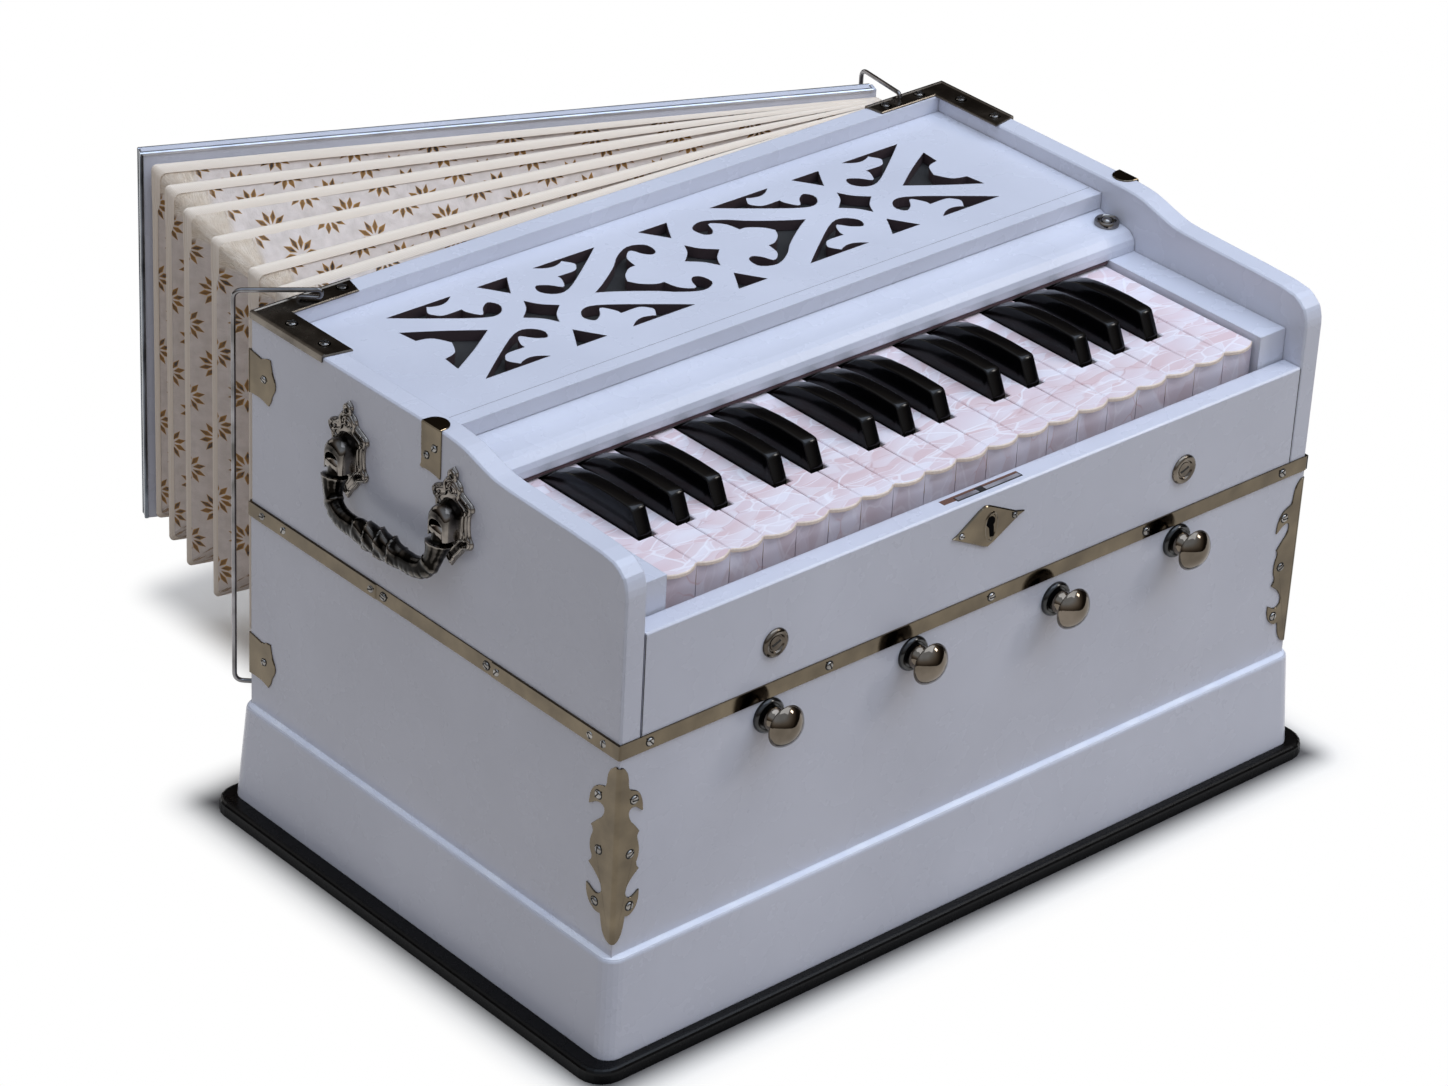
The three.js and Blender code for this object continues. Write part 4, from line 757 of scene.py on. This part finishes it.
MOUTH = arch(5.2, 259.4)[::-1]
for side, end in ENDS:
    hand = "left" if side < 0 else "right"

    def on_end(y, z, out):
        return at(end + side * out, y, z)

    for centre, place in zip(PIN_YS, ("front", "back")):
        plate = bmesh.new()
        sheet_cut(plate, LEAF, lambda u, v, h: on_end(centre + u, PLATE_Z + v, h), 1.7, 0.8)
        for share, thick in ((0.88, 0.95), (0.66, 0.7)):
            rim = [on_end(centre + u * share, PLATE_Z + v * share * 1.03, 1.75)
                   for u, v in LEAF + LEAF[:1]]
            sweep(plate, rim, (side, 0, 0), lambda k, a: thick, 8)
        for u, v, radius, start, stop, thick in CURLS:
            turns = [radians(start + (stop - start) * k / 16) for k in range(17)]
            curl = [on_end(centre + u + radius * cos(a), PLATE_Z + v + radius * sin(a), 2.0)
                    for a in turns]
            sweep(plate, curl, (side, 0, 0), lambda k, a: thick, 8)
        for k in range(9):
            put = frame_on(on_end(centre + 10.2, 248 + 2.4 * k, 1.6), (side, 0, 0), (0, 0, 1))
            turned(plate, put, ((0.95, 0), (0.9, 0.5), (0.6, 0.95), (0.2, 1.1)), 10)
        skin(plate, [[on_end(centre + u, z, out) for u, z in arch(half, top) + MOUTH]
                     for out, half, top in HOOD])
        node_name = f"{hand}_handle_plate_{place}"
        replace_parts(piece(node_name + "_cast", plate, 45, "case", cast),
                    node_name)

    front, back = PIN_YS
    corners = [on_end(front, PIN_Z, PIN_OUT), on_end(front, 229, 13.4), on_end(back, 229, 13.4),
               on_end(back, PIN_Z, PIN_OUT)]
    coarse, path = rounded(corners, [18, 18], 14), []
    for a, b in zip(coarse, coarse[1:]):
        steps = max(1, round((b - a).length * 1000 / 0.7))
        path += [a.lerp(b, k / steps) for k in range(steps)]
    path.append(coarse[-1])
    normal = (corners[1] - corners[0]).cross(Vector((0, 1, 0)))
    normal *= copysign(1, normal.x * side)

    def bail_radius(k, angle):
        """The bail's size: a bar with a fluted cup and a ring at each end, a web inside and a
        twisted leaf body in the middle."""
        y, z = path[k].y * 1000 + DEPTH / 2, path[k].z * 1000 + 4
        inner, away = cos(angle) * side, abs(y - GRIP_Y)
        size = 4.2
        if z > CUP_FOOT:
            cup = (min(z, CUP_TOP) - CUP_FOOT) / (CUP_TOP - CUP_FOOT)
            lip = max(0.0, 1 - max(0.0, z - CUP_TOP) / 0.8)
            size += (2.9 * cup ** 1.8 + 0.22 * cup * cos(11 * angle)) * lip
            size += 0.5 * exp(-((z - 234.5) / 0.9) ** 2)
        web = max(0.0, inner) ** 4 * min(1.0, max(0.0, 240 - z) / 8)
        size += 3.0 * web * (1 - 0.22 * cos(y * 0.9) ** 12)
        if away < 19:
            body = cos(pi * away / 38) ** 0.7
            leaf = ((y - 151 + 2.6 * sin(angle)) / 9.6) % 1.0
            size += body * (1.0 + 2.3 * leaf ** 1.7 * (0.4 + 0.6 * max(0.0, -inner))
                            + 0.35 * cos(5 * angle + 0.5 * (y - GRIP_Y)))
        return size

    bail = bmesh.new()
    sweep(bail, path, normal, bail_radius, 32)
    for centre in PIN_YS:
        for radius, half in ((4.2, 4.8), (2.0, 7.3)):
            skin(bail, [[on_end(centre + y, PIN_Z + size * sin(pi * j / 12),
                                PIN_OUT + size * cos(pi * j / 12)) for j in range(24)]
                        for y, size in ((-half, radius - 0.4), (0.5 - half, radius),
                                        (half - 0.5, radius), (half, radius - 0.4))])
    node_name = hand + "_handle"
    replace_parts(piece(node_name + "_bail", bail, 60, node_name, cast),
                node_name)


# Bellows folds.
# Card pleats covered in a thin printed cotton, drawn together along the ridges with cream
# tape. Plain cream gussets close the corners. The paste left small wrinkles across the cloth.

# Ridges and valleys as shares of the opening, from the case to the board.
RIDGES = [0.1, 0.24, 0.46, 0.66, 0.82, 0.965]
VALLEYS = [(a + b) / 2 for a, b in zip(RIDGES, RIDGES[1:])] + [1.0]
STATIONS = [0.0] + [share for pair in zip(RIDGES, VALLEYS) for share in pair]
HINGE_X, OPENING = 442.5, radians(23.87)
PLEAT, REPEAT = 22.0, 44.0


def opened(share, reach, z):
    """A point on the folds: share of the opening, reach from the hinge, and height."""
    turn = OPENING * share
    return at(HINGE_X - reach * cos(turn), 295.2 + 12.1 * share + reach * sin(turn), z)


def fold_ring(dip, bulge, share):
    """One line round the folds, dip below the ridges, from the hinge over the top and under.
    Each point comes with its place along the print."""
    inset, bend = dip - bulge, 3.0 + 0.35 * dip
    low, high, straight = 79.5 + inset, 295.5 - inset, 412 - inset - bend
    turns = [(k, bend * sin(pi * k / 12), bend * cos(pi * k / 12)) for k in range(1, 7)]
    drops = [high - bend - (high - low - 2 * bend) * k / 30 for k in range(1, 31)]
    line = [(straight * k / 56, high, 412 - straight * k / 56) for k in range(57)]
    line += [(straight + s, high - bend + c, (412 - straight) * (1 - k / 3)) for k, s, c in turns]
    line += [(straight + bend, z, z - 295.5) for z in drops]
    line += [(straight + c, low + bend - s, -216 - 12 * k) for k, s, c in turns]
    line += [(straight * (1 - k / 28), low, straight * (1 - k / 28) - 700) for k in range(1, 29)]
    return [(opened(share, reach, z), u) for reach, z, u in line]


STEPS = 4
fold_mesh = bmesh.new()
uv_layer = fold_mesh.loops.layers.uv.new("print")
rows = []
for k in range(12 * STEPS + 1):
    first = min(k // STEPS, 11)
    part = k / STEPS - first
    share = STATIONS[first] * (1 - part) + STATIONS[first + 1] * part
    ring = fold_ring(16 * (part if first % 2 else 1 - part), 0.9 * sin(pi * part), share)
    wrinkle = 0.00025 * (1 - abs(2 * part - 1))
    rows.append([(fold_mesh.verts.new(point + Vector((0, 0, wrinkle * (
        sin(0.11 * u + 2.1 * first) + sin(0.37 * u + first))))), (u, PLEAT * k / STEPS))
        for point, u in ring])
for near, far in zip(rows, rows[1:]):
    for i in range(len(near)):
        n = (i + 1) % len(near)
        corners = near[i], near[n], far[n], far[i]
        face = fold_mesh.faces.new([corner for corner, mark in corners])
        for loop, (corner, mark) in zip(face.loops, corners):
            loop[uv_layer].uv = mark


def printed_cotton(add):
    # Sunbursts of ten petals, 20 mm across and 44 mm apart, in two rows: one under each tape
    # and one near the bottom of each fold, half a pitch along. Petals are dark with a gold edge.
    uv = add("UVMap", uv_map="print")
    split = add("SeparateXYZ", [uv])
    lifted = add("Math", [split.outputs["Y"], PLEAT], "ADD")
    down = add("Math", [lifted, PLEAT], "PINGPONG")
    marks = []
    for shift, row in ((0.0, 1.5), (0.5, 17.5)):
        cell = add("Math", [split, 1 / REPEAT, shift], "MULTIPLY_ADD")
        part = add("Math", [cell, 1.0], "FLOORED_MODULO")
        across = add("Math", [part, REPEAT, -REPEAT / 2], "MULTIPLY_ADD")
        below = add("Math", [down, row], "SUBTRACT")
        spot = add("CombineXYZ", [across, below])
        radius = add("VectorMath", [spot], "LENGTH")
        angle = add("Math", [below, across], operation="ARCTAN2")
        petal = add("Math", [angle, pi / 10], "PINGPONG")
        lateral = add("Math", [petal, radius], "MULTIPLY")
        reach = add("MapRange", [radius, 2.2, 10.2])
        bow = add("Math", [reach, 0.5], "PINGPONG")
        width = add("Math", [bow, 3.2], "MULTIPLY")
        inner = add("Math", [width, 0.72, -0.12], "MULTIPLY_ADD")
        marks.append([add("Math", [lateral, half], "LESS_THAN") for half in (width, inner)])
    petals, cores = [add("Math", pair, "MAXIMUM") for pair in zip(*marks)]
    # The print stops short of the plain gusset round the upper corner.
    sides = [add("MapRange", [split, *ends]) for ends in ((20.0, 24.0), (-14.0, -18.0))]
    inside = add("Math", sides, "MAXIMUM")
    blotch = add("TexNoise", {"Vector": uv, "Scale": 0.16, "Detail": 3.0})
    deep, ground, cream = [two_tone(add, blotch, *tones) for tones in (
        ("#2b190b", "#80571d", 0.38, 0.6), ("#cabdb3", "#dccfc6", 0.3, 0.7),
        ("#dac6ae", "#eadbc9", 0.3, 0.7))]
    ink = add("Mix", {0: cores, 6: linear("#a87a33"), 7: deep}, data_type="RGBA")
    plain = add("Mix", {0: inside, 6: cream, 7: ground}, data_type="RGBA")
    shown = add("Math", [petals, inside], "MULTIPLY")
    colour = add("Mix", {0: shown, 6: plain, 7: ink}, data_type="RGBA")
    # Soft crumples everywhere, and sharp slanting creases that are deep only on the gusset.
    crumple = add("TexNoise", {"Vector": uv, "Scale": 0.09, "Detail": 4.0, "Distortion": 1.2})
    skewed = add("Mapping", {"Vector": uv, "Rotation": (0, 0, 0.8), "Scale": (0.5, 0.09, 1)})
    crease = add("TexNoise", {"Vector": skewed, "Scale": 1.0, "Detail": 3.0, "Distortion": 1.5})
    sharp = add("Math", [crease, 0.12], "PINGPONG")
    depth = add("MapRange", [inside, 0.0, 1.0, 9.0, 0.8])
    height = add("Math", [sharp, depth, crumple], "MULTIPLY_ADD")
    return add("BsdfPrincipled", {
        "Base Color": colour, "Roughness": 0.55, "IOR": 1.45,
        "Normal": add("Bump", {"Height": height, "Strength": 0.45, "Distance": 0.002})})


folds = piece("bellows_cloth", fold_mesh, 25, "case", finish("printed_cotton", printed_cotton))
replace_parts(folds, "bellows_folds")
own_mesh(folds)

# A tape across a ridge: share of its half width, and depth under the ridge at full width.
TAPE = ((-1.0, 3.4), (-0.8, 2.0), (-0.5, 0.5), (-0.2, -0.55), (0.2, -0.55), (0.5, 0.5), (0.8, 2.0),
        (1.0, 3.4))
tape_mesh = bmesh.new()
for ridge, near, far in zip(RIDGES, STATIONS[::2], STATIONS[2::2]):
    rings = []
    for i, (point, u) in enumerate(fold_ring(0, 0, ridge)):
        gape = (Vector((0.2025, 0.1605)) - point.xy).length * 416
        width = min(2.4 if u < -18 else 3.8, 0.2 * (4 + gape * (far - near)) + 0.3)
        rings.append([fold_ring(dip * width / 4.2, 0, ridge + w * width / (12.1 + gape))[i][0]
                      for w, dip in TAPE])
    skin(tape_mesh, rings)
tapes = piece("bellows_tapes", tape_mesh, 40, "case",
              finish("cream_cotton_tape", woven, "#e6d6c3", "#f7ebdd", 0.8, 0.7, 0.25))
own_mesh(tapes)


# Bellows board's edging.
# A channel rolled from bright sheet steel is pushed over the board's top edge against wear, with
# a line of paint left in it. A strip of worn steel of the same shape covers the free end.


def on_board(x, y, z):
    """A point from the board's hinge: along it, through it and up."""
    c, s = cos(OPENING), sin(OPENING)
    return at(HINGE_X + x * c + y * s, 307.6 - x * s + y * c, z)


LIP = ((-0.6, -1.2), (-0.6, 0.1), (-0.1, 0.7), (1.0, 0.75), (1.2, 0.45), (5.8, 0.45), (6.0, 0.75),
       (7.1, 0.7), (7.6, 0.1), (7.6, -1.2), (7.05, -1.2), (7.05, 0), (-0.05, 0), (-0.05, -1.2))
channel, paint, strip = bmesh.new(), bmesh.new(), bmesh.new()
for bm, ring, ends in ((channel, LIP, (-417, -2)),
                       (paint, oblong(1.3, 5.7, 0.4, 0.72), (-416, -3))):
    skin(bm, [[on_board(x, y, 300.05 + h) for y, h in ring] for x in ends])
skin(strip, [[on_board(-416.55 - h, y, z) for y, h in LIP] for z in (76, 300.1)])
piece("board_top_paint", paint, 30, "bellows_board", enamel)
piece("board_edge_strip", strip, 30, "bellows_board",
      finish("worn_steel_strip", plating, "#3c4046", "#6f747c", 0.1, 0.25, 0.1))
piece("board_channel", channel, 30, "bellows_board",
      finish("rolled_bright_steel", plating, "#c2c7d1", "#e2e6ee", 0.3, 0.42, 0.05))


# Reservoir folds.
# A pleat of card and rubber cloth, pasted to the case's floor and to the reservoir board.
# It lies nearly flat until the bellows fill it.

reservoir, levels = bmesh.new(), []
for k in range(17):
    pinch = 7 * (1 - cos(pi * k / 2))
    levels.append([at(x, y, 12.3 + 12 * k / 16) for x, y in oblong(
        50 + pinch, 430 - pinch, 44 + pinch, 240 - pinch)])
skin(reservoir, levels, "none")
pleat = piece("reservoir_cloth", reservoir, 60, None,
              finish("pasted_rubber_cloth", woven, "#4a4038", "#6b5f52", 1.0))
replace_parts(pleat, "reservoir_folds")
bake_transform(pleat)


# Floor, light and camera.
# A pale sweep of paper under a wide soft lamp, seen from a little above the left front corner.
# The lamps stand for a studio's soft boxes, and the room round them for its walls and ceiling.


def outside(add, centre, half):
    """How far a point of the floor lies outside a box, in metres."""
    place = add("TexCoord").outputs["Object"]
    for operation, *others in (("SUBTRACT", centre), ("ABSOLUTE",), ("SUBTRACT", half),
                               ("MAXIMUM", (0, 0, 0)), ("LENGTH",)):
        place = add("VectorMath", [place, *others], operation)
    return place


def pale_paper(add):
    # The sheet is lit and shadowed like grey paper. The camera and mirrors see it white, with the
    # shadow kept within about 30 mm of the instrument's foot and under the open bellows.
    fibre = add("TexNoise", {"Vector": position(add, 30), "Scale": 1.0, "Detail": 3.0})
    grey = add("BsdfDiffuse", [two_tone(add, fibre, "#948980", "#9e9389")])
    white = add("Emission", [(1, 1, 1, 1), 1.0])
    foot = outside(add, (0, 0, 0), (0.254, 0.161, 0))
    behind = outside(add, (0.055, 0.25, 0), (0.195, 0.1, 0))
    gap = add("Math", [foot, behind], "MINIMUM")
    far = add("MapRange", [gap, 0.0, 0.034], interpolation_type="SMOOTHSTEP")
    # Within 20 mm of the foot the paper's colour darkens to grey: a painted contact shadow.
    pale = add("BsdfDiffuse", [two_tone(add, foot, "#6d6966", "#fff8ee", 0.0, 0.02)])
    path = add("LightPath")
    seen = path.outputs["Is Camera Ray"]
    for ray in ("Is Glossy Ray", "Is Transmission Ray"):
        seen = add("Math", [seen, path.outputs[ray]], "MAXIMUM")
    return add("MixShader", [seen, grey, add("MixShader", [far, pale, white])])


paper = bpy.data.meshes.new("paper_floor")
paper.from_pydata([(x, y, 0) for x, y in oblong(-6, 6, -6, 6)], [], [(0, 1, 2, 3)])
placed("paper_floor", paper, None, finish("pale_paper", pale_paper))

# The room is dark behind the instrument, pale behind the camera and bright overhead.
world = bpy.data.worlds.new("soft_room")
world.use_nodes = True
world.node_tree.nodes.clear()
add = partial(node, world.node_tree)
facing = add("VectorMath", [add("TexCoord").outputs["Generated"],
                            (-0.22, -0.27, 1.0)], "DOT_PRODUCT")
dome = two_tone(add, facing, "#2d2926", "#dbe9fc")
for stop, colour in ((0.2, "#35302c"), (0.42, "#7a726a"), (0.62, "#b4b1af"), (0.85, "#dbe9fc")):
    dome.color_ramp.elements.new(stop).color = linear(colour)
room, white = [add("Background", [colour, 1.0]) for colour in (dome, (1, 1, 1, 1))]
seen = add("LightPath").outputs["Is Camera Ray"]
add("OutputWorld", [add("MixShader", [seen, room, white])])
bpy.context.scene.world = world

for name, place, size, power, colour in (
        ("overhead_lamp", (0.5, -0.4, 2.2), 2.0, 24, (0.85, 0.98, 1.2)),
        ("back_lamp", (-0.6, 2.2, 1.0), 1.0, 4, (1.0, 0.97, 0.94)),
        ("key_lamp", (1.5, -1.25, 1.6), 0.45, 7, (1.0, 0.97, 0.93))):
    lamp = bpy.data.lights.new(name, "AREA")
    lamp.shape, lamp.size, lamp.energy, lamp.color = "SQUARE", size, power, colour
    stand, aim = placed(name, lamp, None), Vector((0, 0, 0.15)) - Vector(place)
    stand.location, stand.rotation_euler = place, aim.to_track_quat("-Z", "Y").to_euler()

lens = bpy.data.cameras.new("camera")
lens.lens, lens.sensor_width = 118.0, 36.0
camera = placed("camera", lens, None)
azimuth, elevation, roll = radians(42.89), radians(29.86), radians(3.17)
level = Vector((cos(azimuth), -sin(azimuth), 0))
forward = Vector((cos(elevation) * sin(azimuth), cos(elevation) * cos(azimuth), -sin(elevation)))
right = level * cos(roll) + level.cross(forward) * sin(roll)
camera.matrix_world = Matrix((right, right.cross(forward), -forward)).transposed().to_4x4()
camera.location = (-1.504, -1.572, 1.394)
bpy.context.scene.camera = camera
bpy.context.scene.view_settings.view_transform = "Standard"
